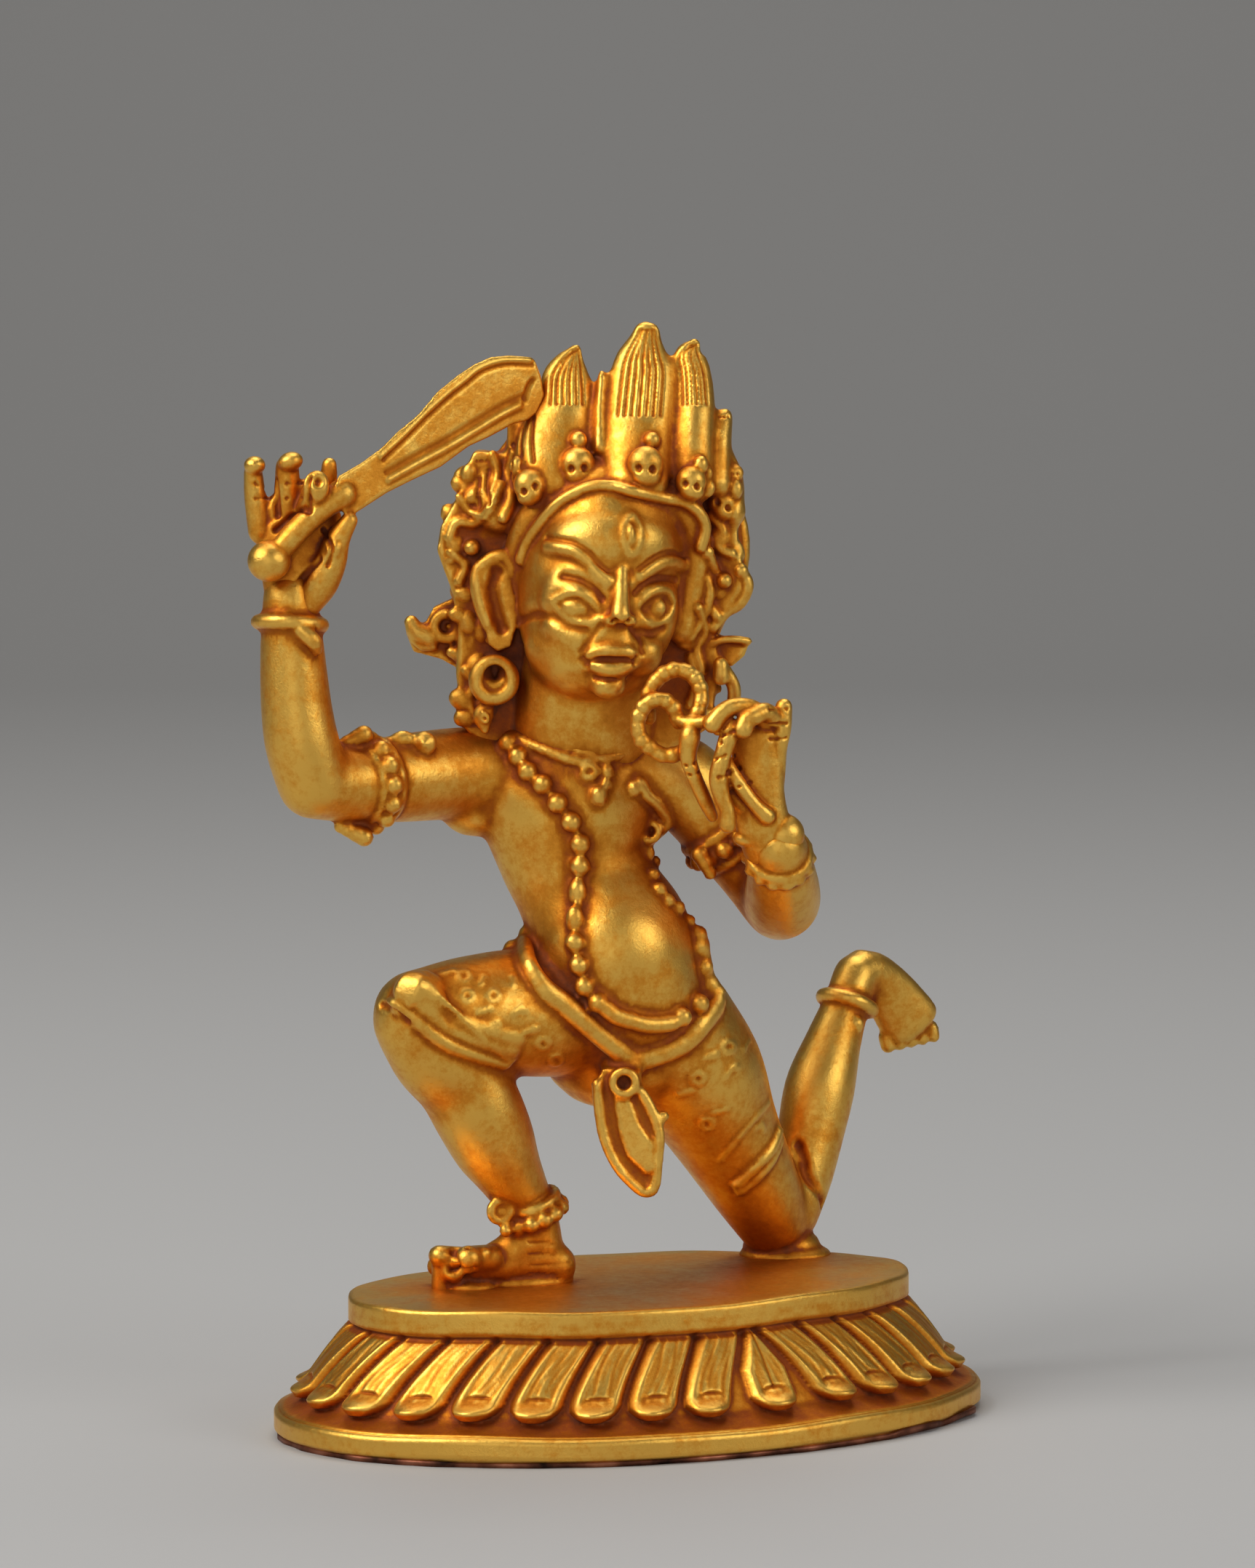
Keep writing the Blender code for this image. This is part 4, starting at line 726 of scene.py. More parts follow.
def hairMass(forms):
    ball(forms, (-1, 2.2, 43.9), (3.7, 3.4, 2.8), detail=4)
    ball(forms, (-1.5, 2.2, 40.6), (5.9, 4.2, 5.6), detail=4)
    for name, front, thick in (("left", -0.6, 3.6), ("right", -0.5, 3.4)):
        slab(forms, [(x, front, z) for x, z in hair[name]], thick)
    for flame in hair["flames"]:
        drawOut(forms, flame["way"], sides=28, steps=5)


def hairForms(forms, tree):
    # lumps and curls that break up the mass beside the face
    for k in range(34):
        left = k % 3 < 2
        z = 31 + 13.5 * (0.5 + 0.5 * math.sin(k * 2.399))
        x = (-8.6 - 0.9 * math.sin(k * 1.7) - 0.06 * (z - 31)) if left else 4.7 + 0.8 * math.sin(k * 1.3)
        size = 0.52 + 0.2 * math.sin(k * 3.1)
        ball(forms, layOn(tree, [(x, z)], -0.3 * size)[0], (size * 1.2, size * 0.75, size * 0.9),
            turn=(0, k * 47, 0))
    for way, size in (([(-7, 43.6), (-7.6, 42.4), (-8.4, 41.6), (-9.4, 41.6), (-9.8, 40.8)], 0.3),
                      ([(-9.3, 43), (-8.7, 42.2), (-7.9, 41.9)], 0.24),
                      ([(-9.7, 40), (-9, 39.3), (-9.3, 38.4)], 0.28),
                      ([(-6.3, 45.4), (-6.6, 44.2), (-6.5, 42.9), (-6.9, 41.8)], 0.3),
                      ([(-7.5, 45.3), (-7.2, 44.2), (-7.5, 43.2)], 0.24),
                      ([(-8.9, 33.6), (-8.5, 32.9), (-8.8, 32), (-8.4, 31)], 0.3),
                      ([(4.3, 42), (4.9, 41.2), (4.7, 40.3), (5.4, 39.9)], 0.3),
                      ([(4.2, 39.8), (4.5, 38.6), (4.1, 37.4), (4.6, 36.5)], 0.32),
                      ([(3.6, 37), (3.9, 35.8), (3.5, 34.8), (3.8, 33.6)], 0.3),
                      ([(3.2, 34.4), (3.5, 33), (3.2, 31.8)], 0.3)):
        cord(forms, layOn(tree, way, 0), size)
    # the back is combed up from the nape to the crest
    count, reach = hair["backStrands"], math.radians(hair["backReach"])
    for k in range(count):
        turn = -reach + 2 * reach * k / (count - 1)
        rows = []
        for z, out in ((30.6, 2.7), (33, 3.6), (36, 4.7), (39, 5.6), (42, 5.5), (45, 4.1), (47.6, 2.4)):
            wave = 0.12 * math.sin(z * 0.8 + k * 1.3)
            rows.append((-1.6 + (1.3 * out + wave) * math.sin(turn), 1.2 + out * math.cos(turn) * 0.95, z,
                         hair["backSize"], 0.45))
        drawOut(forms, rows, sides=12)


def hairStrokes(tree):
    # fine lines engraved up each flame
    table = []
    for flame in hair["flames"]:
        lines = flame["lines"]
        for k in range(lines):
            share = 1.5 * (k + 0.5) / lines - 0.75
            way = []
            for x, y, z, wide, deep in flame["way"][2:]:
                nearer = sight.y / (sight.y - y)
                way.append((sight.x + (x + share * wide * 0.95 - sight.x) * nearer,
                    sight.z + (z - sight.z) * nearer))
            table.append((way, 0.16, -0.085 - 0.03 * (k % 2)))
    for x, top, low in ((-5.9, 46.6, 44.6), (-5.3, 47.3, 44.9), (-6.4, 45.8, 43.9), (-7.7, 44.4, 42.6),
            (-8.2, 44, 42.5)):
        table.append(([(x, top), (x - 0.1, (top + low) / 2), (x, low)], 0.2, -0.12))
    return strokesOn(tree, table)


# Hands

def swordHandForms():
    forms = []
    drawOut(forms, [(-18, -6.5, 36.4, 1.5, 1.45), (-18, -6.5, 37.7, 1.42, 1.25),
        (-17.9, -6.4, 39.3, 1.8, 1.1), (-17.6, -6.3, 40.8, 2.4, 1.05), (-17.8, -6.2, 42.2, 2.3, 0.95),
        (-18.2, -6.2, 42.9, 2, 0.85)], sides=32)
    # two fingers stand at the outer side, one shows behind, one is bent over the hilt, the thumb is below
    drawOut(forms, [(-19.6, -6.3, 41.4, 0.72), (-19.9, -6.5, 43.2, 0.6), (-20, -6.7, 44.5, 0.5)], sides=20)
    ball(forms, (-19.9, -7, 44.9), (0.58, 0.62, 0.5))
    drawOut(forms, [(-18.2, -6.3, 41.6, 0.8), (-18.2, -6.5, 43.4, 0.72), (-18.2, -6.7, 44.8, 0.62)], sides=20)
    ball(forms, (-18, -7.1, 45.1), (0.68, 0.66, 0.52), turn=(0, -14, 0))
    drawOut(forms, [(-16.6, -5.9, 42.4, 0.6), (-16.1, -6, 44, 0.5), (-16, -6.1, 44.9, 0.4)], sides=18)
    drawOut(forms, [(-17.1, -6.5, 42, 0.8), (-16.8, -7.6, 43.1, 0.74), (-16.6, -8, 43.8, 0.68)], sides=22)
    ball(forms, (-16.6, -8.2, 43.8), (0.7, 0.5, 0.88), turn=(0, 8, 0), detail=4)
    drawOut(forms, [(-17.2, -6.9, 37.4, 0.7), (-16.5, -7, 38.6, 0.95), (-15.9, -7.2, 39.8, 0.85),
                    (-15.5, -7.4, 41, 0.66), (-14.9, -7.4, 42, 0.46)], sides=24)
    ball(forms, (-15.7, -7.9, 40.5), (0.4, 0.3, 0.55), turn=(0, 24, 0))
    # hilt, with its knob
    ball(forms, (-19.1, -8.2, 39.9), (1.14, 1.1, 1.1), detail=4)
    drawOut(forms, [(-19, -8.2, 39.9, 0.6), (-17.7, -8.1, 41.4, 0.66), (-16.4, -7.7, 42.6, 0.66),
                    (-15.3, -7.2, 43.4, 0.8)], sides=24)
    # blade: flat, broad towards a blunt slanted end
    slab(forms, [tuple(onSight(x, z, bladeDepth(x) - 0.32)) for x, z in blade["outline"]], 0.64)
    return forms


blade = {"outline": [(-16, 43.6), (-15.8, 44.1), (-14.6, 44.8), (-13.5, 45.6), (-12.6, 46.5),
    (-11.5, 47.4), (-10.5, 48.6), (-9.4, 49.5), (-8.5, 50.1), (-7.6, 50.5), (-6.6, 50.6), (-5.4, 50.5),
    (-5.2, 50.3), (-4.9, 49.5), (-4.7, 48.4), (-5.1, 47.5), (-5.6, 47.1), (-6.4, 46.9), (-7.7, 46.2),
    (-8.8, 45.7), (-10.3, 44.6), (-11.8, 43.9), (-13.2, 43.2), (-14.9, 42.1), (-15.5, 42.2)],
    "tipLine": [(-5.1, 50.1), (-5.5, 49), (-5.8, 48)], "lowLine": [(-5.8, 48), (-7, 47.4), (-8.5, 46.5),
    (-10, 45.6), (-11.5, 44.8), (-13.1, 43.9)], "highLine": [(-5.5, 50.3), (-7, 50.3), (-8.2, 49.9),
    (-9.1, 49.2), (-10, 48.5), (-11.1, 47.5), (-12.3, 46.3), (-13.5, 45.2)],}


def bladeDepth(x):
    return -7.4 + (x + 15.6) * 0.62


def swordHandStrokes(tree):
    # the blade's ridges and the grooves beside them, then the fingers' gaps and joints, the palm, the nail
    table = [(blade["tipLine"], 0.28, -0.12), (blade["lowLine"], 0.3, 0.1),
        ([(x - 0.1, z + 0.42) for x, z in blade["lowLine"]], 0.3, -0.06),
        ([(x + 0.15, z - 0.2) for x, z in blade["highLine"]], 0.24, -0.07), (blade["highLine"], 0.3, 0.08),
        ([(-19.1, 42), (-19.2, 43.9)], 0.3, -0.26), ([(-17.4, 42.2), (-17.4, 44)], 0.3, -0.26),
        ([(-19.2, 41.2), (-18.3, 41.9), (-17.6, 42.3)], 0.3, -0.26), ([(-18.2, 37.2), (-18, 38.2),
        (-17.4, 39), (-16.9, 39.6)], 0.3, -0.24), ([(-16.9, 43.8)], 0.46, -0.3), ([(-16.6, 41.2),
        (-16.2, 40.2), (-16.4, 39.3)], 0.25, -0.2)]
    for x in (-19.9, -18.2):
        table += [([(x - 0.4, z), (x + 0.4, z + 0.05)], 0.18, -0.1) for z in (42.9, 43.7)]
    return strokesOn(tree, table)


def ropeHandForms():
    forms = []
    drawOut(forms, [(7.7, -3.6, 24, 1.6, 1.4), (7.1, -4.5, 25.4, 1.5, 1.15), (6.8, -5, 27, 1.4, 0.85),
                    (6.7, -5.2, 28.8, 1.4, 0.7), (6.7, -5.3, 30.4, 1.3, 0.6)], sides=28)
    ball(forms, (8.1, -4.6, 25.1), (1.15, 1, 1.15), detail=4)
    ball(forms, (6.4, -4.5, 24.9), (1, 0.8, 0.55))
    # the raised finger at the outer side, two bent ones, and the thumb under the rope
    drawOut(forms, [(7.6, -4.9, 27.2, 0.5), (7.7, -5, 28.6, 0.52), (7.8, -5.2, 29.8, 0.5),
        (8, -5.3, 30.9, 0.52), (8.1, -5.3, 32, 0.46)], sides=20)
    drawOut(forms, [(7.3, -5.2, 31, 0.5), (6.5, -6.1, 31.9, 0.5), (5.5, -6.5, 32.1, 0.48),
        (4.8, -6.7, 31.8, 0.48), (4.3, -6.8, 31.2, 0.52)], sides=20)
    drawOut(forms, [(7.8, -5.2, 31.2, 0.5), (7.1, -6.2, 31.8, 0.5), (6.5, -6.6, 31.6, 0.5),
        (6.1, -6.7, 31.4, 0.5), (5.9, -6.8, 30.9, 0.52)], sides=20)
    drawOut(forms, [(6.4, -4.9, 26.4, 0.7), (5.4, -5.3, 27.4, 0.6), (4.9, -5.8, 28.6, 0.5)], sides=18)
    # rope: a tall loop, a low loop in front of it, and strands that hang from the fingers
    ribbedRope(forms, [(0.9, -4.6, 31.4), (0.85, -4.9, 32.4), (1.24, -5, 33.3), (2, -5, 33.9),
        (2.8, -5, 33.9), (3.4, -5.1, 33.5), (3.7, -5.2, 32.7), (3.6, -5.4, 31.9), (3.3, -5.7, 31.3)], 0.43)
    ribbedRope(forms, [(2.5, -5.3, 31.2), (2.2, -5.4, 32), (1.6, -5.5, 32.4), (0.8, -5.5, 32.2),
        (0.35, -5.5, 31.4), (0.45, -5.5, 30.4), (1.05, -5.5, 29.8), (1.8, -5.5, 29.4), (2.7, -5.6, 29.6)],
        0.43)
    cord(forms, [(2.4, -5.3, 31.3), (2.9, -5.8, 31.2), (3.4, -6, 31.2), (4.2, -6.4, 31.3)], 0.36)
    drawOut(forms, [(3.3, -5.8, 31.1, 0.36), (3.1, -6.1, 30.5, 0.58), (3, -6.1, 29.4, 0.46),
        (3.3, -5.9, 28.4, 0.42), (3.9, -5.4, 27, 0.4), (4.3, -4.8, 26.1, 0.32)], sides=18)
    drawOut(forms, [(5.3, -6.5, 31.1, 0.4), (5.1, -6.6, 30.4, 0.5), (4.8, -6.6, 29.4, 0.46),
        (4.6, -6.5, 28.3, 0.52), (4.8, -6.4, 27.3, 0.46), (5.1, -6.3, 26.5, 0.42),
        (5.1, -6.2, 25.8, 0.48)], sides=18)
    drawOut(forms, [(4.9, -6, 29.4, 0.36), (5.2, -6.1, 28.7, 0.42), (5.8, -6.1, 27.8, 0.42),
        (6.5, -6, 26.9, 0.38), (7.2, -5.8, 26.2, 0.46)], sides=18)
    return forms


def ropeHandStrokes(tree):
    # pits in the strands and the joints of the raised finger
    pits = ((3.2, 28.5), (3.4, 28), (4.5, 29.6), (4.8, 28.9), (5, 27.9), (5.2, 30.2), (5.5, 28.2),
        (6.1, 27.4))
    table = [([(x - 0.3, z - 0.1), (x + 0.3, z + 0.1)], 0.2, -0.14) for x, z in pits]
    table += [([(7.5, z), (8.4, z + 0.05)], 0.16, -0.12) for z in (31.5, 30.7, 29.9)]
    return strokesOn(tree, table)


# Plinth

plinth = {
    "topLength": 0.0324, "topWidth": 0.0184, "flare": 0.00405,
    "above": 0.0003,         # the cast top lies this much over the solid's
    "topRim": 0.0015, "footRim": 0.00092,
    "petals": 30, "relief": 0.00105, "inset": 0.0018, "ledge": 0.0006,
    "centrePetal": math.radians(-79.4),
    "columnsPerPetal": 30, "rows": 46,
    "edge": 0.0002,
    "handmade": 0.00009,     # how far edges wander, as on a hand-finished casting
}
petal = {"halfWidth": 0.455, "lean": 0.62, "spread": 0.29, "roundFrom": 0.76, "footAt": 0.86,
    "crescentAt": 0.77, "rimAt": 0.74}


def oval(around, margin):
    return Vector(((plinth["topLength"] / 2 + margin) * math.cos(around),
                   (plinth["topWidth"] / 2 + margin) * math.sin(around), 0))


def evenAngles(margin, columns):
    fine = np.linspace(plinth["centrePetal"], plinth["centrePetal"] + 2 * math.pi, 2881)
    points = np.array([oval(a, margin)[:2] for a in fine])
    lengths = np.concatenate([[0], np.cumsum(np.linalg.norm(np.diff(points, axis=0), axis=1))])
    return [float(np.interp(lengths[-1] * k / columns, lengths, fine)) for k in range(columns)]


def petalHeight(along, down):
    # share of the relief: a hollow-faced lobe with raised sides and scratches, bulging at its rounded foot
    petals = plinth["petals"]
    number = round(along)
    best = 0.0
    for centre in (number - 1, number, number + 1):
        turn = centre % petals
        isCentre = turn == 0
        lean = 0.0 if isCentre else (1.0 if turn > petals / 2 else -1.0)
        offset = along - centre - lean * (petal["lean"] * (1 - down) ** 1.7 - petal["spread"])
        wide = petal["halfWidth"]
        if isCentre:
            wide *= min(1.0, 0.15 + down * 1.9)
        if down > petal["roundFrom"]:
            wide *= math.sqrt(max(0.0, 1 - ((down - petal["roundFrom"]) / (1 - petal["roundFrom"])) ** 2))
        if abs(offset) < wide:
            edge = abs(offset) / wide
            foot = math.exp(-((down - petal["footAt"]) / 0.09) ** 2) * (1 - edge ** 2)
            bend = petal["crescentAt"] - 0.09 * (1 - edge ** 2)
            crescent = math.exp(-((down - bend) / 0.018) ** 2) * max(0.0, 1 - (edge * 2.0) ** 2)
            scratch = (0.012 * math.sin(offset * 47 + 2.4 * math.sin(down * 7 + centre * 2.1)) + 0.014 *
                math.sin(offset * 23 - 7 * down + centre * 5.3)) * (1 - edge ** 2) * (down < 0.74)
            rim = 0.2 * math.exp(-((edge - petal["rimAt"]) / 0.17) ** 2) * (1 - 0.6 * max(0.0,
                down - 0.7) / 0.3)
            line = 0.12 * math.exp(-(offset / 0.02) ** 2) * (down < 0.7) if isCentre else 0.0
            height = math.sqrt(1 - edge ** 2.8) * (0.62 + rim + scratch + 0.58 * foot - 0.2 * crescent - line)
            best = max(best, height)
    return best


def newLoop(form, columns):
    made = bmesh.ops.create_circle(form, segments=columns, radius=1.0)
    return sorted(made["verts"], key=lambda v: math.atan2(v.co.y, v.co.x) % (2 * math.pi))


def closedPiece(form, loops, name):
    # rings of points from the top down, stitched and closed at both ends
    for upper, lower in zip(loops[:-1], loops[1:]):
        for k in range(len(upper)):
            j = (k + 1) % len(upper)
            form.faces.new((upper[k], lower[k], lower[j], upper[j]))
    form.faces.new(loops[0])
    form.faces.new(list(reversed(loops[-1])))
    bmesh.ops.recalc_face_normals(form, faces=form.faces)
    bmesh.ops.triangulate(form, faces=form.faces)
    mesh = bpy.data.meshes.new(name)
    form.to_mesh(mesh)
    form.free()
    return pieceFrom(mesh, name, Matrix.Identity(4))


def lotusPiece():
    bottom = sheetHigh.z
    top = plinthHigh.z + plinth["above"]
    edge, rows = plinth["edge"], plinth["rows"]
    footTop = plinthLow.z + plinth["footRim"]
    petalTop = top - plinth["topRim"]
    columns = plinth["petals"] * plinth["columnsPerPetal"]
    angles = evenAngles(plinth["flare"] / 2, columns)
    # rings from the middle of the top outwards and down: height, margin beyond the top's edge, and the
    # share of the petals that is above
    inner = (0.2, 0.38, 0.5, 0.62, 0.74, 0.85, 0.94)
    rings = [(top, -edge * 1.6, None)] * len(inner)
    rings += [(top, -edge * 1.6, None), (top - edge * 0.12, -edge * 0.7, None),
        (top - edge * 0.5, -edge * 0.15, None), (top - edge * 1.2, 0, None)]
    for k in range(1, 7):
        rings.append((top - edge * 1.2 - (top - petalTop - 2.2 * edge) * k / 6, 0, None))
    rings.append((petalTop, -2 * edge, None))
    for k in range(rows + 1):
        t = k / rows
        rings.append((petalTop - edge + (footTop + plinth["ledge"] + edge - petalTop) * t,
                      -3 * edge + (plinth["flare"] - plinth["inset"] + 3 * edge) * t ** 0.85, t))
    for k in range(1, 6):
        s = k / 6
        rings.append((footTop + plinth["ledge"] * (1 - s) ** 1.8,
            plinth["flare"] - plinth["inset"] * (1 - s), None))
    rings += [(footTop, plinth["flare"] - 1.6 * edge, None),
        (footTop - edge * 0.15, plinth["flare"] - 0.7 * edge, None), (footTop - edge, plinth["flare"],
        None)]
    for k in range(1, 6):
        rings.append((footTop - edge + (bottom + edge - footTop + edge) * k / 5, plinth["flare"], None))
    rings.append((bottom, plinth["flare"] - edge, None))
    form = bmesh.new()
    loops = []
    for number, (height, margin, down) in enumerate(rings):
        share = inner[number] if number < len(inner) else 1.0
        loops.append(newLoop(form, columns))
        for k, vert in enumerate(loops[-1]):
            around = angles[k]
            out = margin
            if down is not None:
                out += plinth["relief"] * petalHeight(k / plinth["columnsPerPetal"], down)
            wander = math.sin(around * 3 + 1) + 0.7 * math.sin(around * 7 + 2.2) + 0.5 * math.sin(around * 13)
            out += plinth["handmade"] * wander * 0.5
            lift = plinth["handmade"] * 0.6 * (math.sin(around * 5 + 0.7) + 0.6 * math.sin(around * 11 + 2))
            vert.co = oval(around, out) * share
            vert.co.z = height + (lift * share ** 4 if height > bottom else 0)
    return closedPiece(form, loops, "lotusBase")


sheet = {"thickness": 0.0003, "lip": -0.00025, "columns": 360, "curls": [math.radians(-52),
    math.radians(-35)], "curlWide": 0.12, "curlOut": 0.0004, "curlUp": 0.0002, "ragged": 0.000056}


def sheetPiece():
    # thin copper under the foot rim; its edge is ragged and lifts a little at two places
    form = bmesh.new()
    loops = []
    for height in (sheet["thickness"], sheet["thickness"] / 2, 0):
        loops.append(newLoop(form, sheet["columns"]))
        for k, vert in enumerate(loops[-1]):
            around = 2 * math.pi * k / sheet["columns"]
            ragged = math.sin(around * 9) + 0.8 * math.sin(around * 23 + 1) + 0.5 * math.sin(around * 41)
            curl = 0.0
            for at in sheet["curls"]:
                apart = (around - at + math.pi) % (2 * math.pi) - math.pi
                curl = max(curl, math.exp(-(apart / sheet["curlWide"]) ** 4))
            vert.co = oval(around, plinth["flare"] + sheet["lip"] + sheet["ragged"] * ragged +
                sheet["curlOut"] * curl)
            vert.co.z = height + (sheet["curlUp"] * curl if curl > 0.3 else 0)
    return closedPiece(form, loops, "copperSheet")


# Wear and painted shade: what the rubbing cloth reaches stays bright, what it misses keeps its brown, and
# what is closed in is also darkened as painted shade

patinaAndShadeMasks = {"eases": (3, 14), "rays": 14, "reach": 0.0045}


def addWearAndShadeMasks(pieces):
    # every piece gets two values at each point: how hollow it is, and how open to the air; openness later
    # paints shade into the colour as well as patina
    heap = bmesh.new()
    for piece in pieces:
        heap.from_mesh(piece.data)
    tree = BVHTree.FromBMesh(heap)
    heap.free()
    golden = math.pi * (3 - math.sqrt(5))
    rays = []
    for k in range(patinaAndShadeMasks["rays"]):
        up = 1 - (k + 0.5) / patinaAndShadeMasks["rays"] * 0.92
        out = math.sqrt(1 - up * up)
        rays.append((out * math.cos(k * golden), out * math.sin(k * golden), up))
    for piece in pieces:
        mesh = piece.data
        places, normals = readPoints(mesh)
        ends = np.empty(len(mesh.edges) * 2, np.int32)
        mesh.edges.foreach_get("vertices", ends)
        a, b = ends.reshape(-1, 2).T
        count = len(places)
        links = np.bincount(a, minlength=count) + np.bincount(b, minlength=count)
        links = np.maximum(links, 1)
        hollow = np.zeros(count)
        eased = places.copy()
        for step in range(1, max(patinaAndShadeMasks["eases"]) + 1):
            total = np.zeros_like(eased)
            for axis in range(3):
                total[:, axis] = (np.bincount(a, eased[b, axis], count) + np.bincount(b, eased[a, axis],
                    count))
            eased = eased * 0.3 + total / links[:, None] * 0.7
            if step in patinaAndShadeMasks["eases"]:
                hollow += ((eased - places) * normals).sum(1) / (0.00003 if step == min(patinaAndShadeMasks["eases"])
                    else 0.00009)
        # openness: the share of short rays that get out; it drives the painted shade of closed-in places
        openness = np.ones(count, np.float32)
        for i in range(count):
            normal = Vector(normals[i])
            start = Vector(places[i]) + normal * 0.00004
            turnTo = normal.to_track_quat("Z", "Y")
            seen = 0
            for ray in rays:
                if tree.ray_cast(start, turnTo @ Vector(ray), patinaAndShadeMasks["reach"])[0] is None:
                    seen += 1
            openness[i] = seen / len(rays)
        for _ in range(2):
            openness = (openness + (np.bincount(a, openness[b], count) + np.bincount(b, openness[a],
                count)) / links) / 2
        for name, values in (("hollow", np.clip(hollow * 0.5 + 0.5, 0, 1)), ("openness", openness)):
            layer = mesh.attributes.new(name, "FLOAT", "POINT")
            layer.data.foreach_set("value", values.astype(np.float32))
        print("wear worked out for", piece.name)


# Finishes

def node(tree, kind, settings=None, links=None, **values):
    # one node with its settings, its sockets' values, and what is linked into it
    made = tree.nodes.new(kind)
    for key, value in (settings or {}).items():
        setattr(made, key, value)
    for key, value in values.items():
        made.inputs[int(key[1:]) if key[1:].isdigit() else key.replace("_", " ")].default_value = value
    for key, source in (links or {}).items():
        tree.links.new(source, made.inputs[key])
    return made


def ramp(tree, source, stops):
    made = node(tree, "ShaderNodeValToRGB", links={"Fac": source})
    band = made.color_ramp
    for slot in (0, 1):
        band.elements[slot].position, band.elements[slot].color = stops[slot]
    for place, colour in stops[2:]:
        band.elements.new(place).color = colour
    return made


gilding = {
    "bright": "#f2bd55", "gold": "#e39a33", "deep": "#c47720", "rust": "#9e4c17", "pit": "#662f12",
    "roughness": (0.34, 0.62),    # burnished to dull
    "grainMillimetres": 0.12,     # satin grain of the casting
    "cloudMillimetres": 2.4,      # broad patches of wear
    "pitMillimetres": 0.5,
    "strokeMillimetres": 0.16,    # marks of the burnisher
}


def emptyMaterial(name):
    made = bpy.data.materials.new(name)
    made.use_nodes = True
    made.node_tree.nodes.clear()
    return made, made.node_tree


def gildedCopper():
    # fire-gilt copper, cast and burnished: warm satin gold on what stands out, red-brown patina left in the
    # hollows, and painted shade that darkens the colour where the form is closed in
    made, tree = emptyMaterial("fireGiltCopper")
    place = node(tree, "ShaderNodeTexCoord").outputs["Object"]
    hollow = node(tree, "ShaderNodeAttribute", {"attribute_name": "hollow"}).outputs["Fac"]
    openness = node(tree, "ShaderNodeAttribute", {"attribute_name": "openness"}).outputs["Fac"]

    def cloud(millimetres, detail, rough=0.6):
        return node(tree, "ShaderNodeTexNoise", links={"Vector": place},
            Scale=1000 / millimetres, Detail=detail, Roughness=rough).outputs["Fac"]

    def sum3(a, b, c):
        first = node(tree, "ShaderNodeMath", {"operation": "ADD"}, {0: a, 1: b}).outputs[0]
        return node(tree, "ShaderNodeMath", {"operation": "ADD"}, {0: first, 1: c}).outputs[0]

    def scaled(source, low, high, toLow, toHigh):
        return node(tree, "ShaderNodeMapRange", {"clamp": True}, {"Value": source},
            From_Min=low, From_Max=high, To_Min=toLow, To_Max=toHigh).outputs["Result"]

    patches = cloud(gilding["cloudMillimetres"], 6)
    grain = cloud(gilding["grainMillimetres"], 3)
    pits = cloud(gilding["pitMillimetres"], 8, 0.75)
    # patina gathers where the form is hollow and spreads in patches; where the form is closed in, the
    # darkening is painted shade as well as patina
    closedPatinaAndPaintedShade = scaled(openness, 0.2, 0.9, 0.48, 0.0)
    sunk = scaled(hollow, 0.5, 0.95, 0.0, 0.38)
    patchy = scaled(patches, 0.3, 0.72, 0.04, 0.22)
    stainAndPaintedShade = sum3(closedPatinaAndPaintedShade, sunk, patchy)
    speckle = scaled(pits, 0.35, 0.65, -0.09, 0.09)
    # the painted shade of closed-in places is carried in this sum, with the patina, the patches and the pits
    dirtAndPaintedShade = node(tree, "ShaderNodeMath", {"operation": "ADD", "use_clamp": True},
        {0: stainAndPaintedShade, 1: speckle}).outputs[0]
    worn = scaled(hollow, 0.12, 0.45, -0.12, 0.0)
    tone = node(tree, "ShaderNodeMath", {"operation": "ADD", "use_clamp": True},
        {0: dirtAndPaintedShade, 1: worn}).outputs[0]
    # the tone runs from bright gold to pit brown; its dark end is reached both by patina and by painted shade
    colour = ramp(tree, tone, [(0.0, linear(gilding["bright"])), (1.0, linear(gilding["pit"])),
                               (0.16, linear(gilding["gold"])), (0.4, linear(gilding["deep"])),
                               (0.72, linear(gilding["rust"]))]).outputs["Color"]
    rough = scaled(tone, 0.0, 0.75, *gilding["roughness"])
    mixed = sum3(scaled(grain, 0.3, 0.7, -0.03, 0.05), rough, scaled(patches, 0.3, 0.7, -0.03, 0.04))
    drawn = node(tree, "ShaderNodeMapping", links={"Vector": place}, Rotation=(0.4, 0.7, 0.2),
        Scale=(1, 0.1, 1))
    strokes = node(tree, "ShaderNodeTexNoise", links={"Vector": drawn.outputs["Vector"]},
                   Scale=1000 / gilding["strokeMillimetres"], Detail=2.0).outputs["Fac"]
    brushed = node(tree, "ShaderNodeBump", links={"Height": strokes}, Strength=0.2, Distance=0.00003)
    fine = node(tree, "ShaderNodeBump", links={"Height": grain, "Normal": brushed.outputs["Normal"]},
        Strength=0.35, Distance=0.00003)
    coarse = node(tree, "ShaderNodeBump", links={"Height": pits, "Normal": fine.outputs["Normal"]},
        Strength=0.45, Distance=0.00006)
    metal = scaled(tone, 0.55, 0.95, 1.0, 0.5)
    shader = node(tree, "ShaderNodeBsdfPrincipled", links={"Base Color": colour, "Roughness": mixed,
        "Metallic": metal, "Normal": coarse.outputs["Normal"]})
    node(tree, "ShaderNodeOutputMaterial", links={"Surface": shader.outputs["BSDF"]})
    return made


copper = {"clean": "#b5765a", "dull": "#7c4a36", "black": "#2a1a15", "roughness": (0.35, 0.65)}


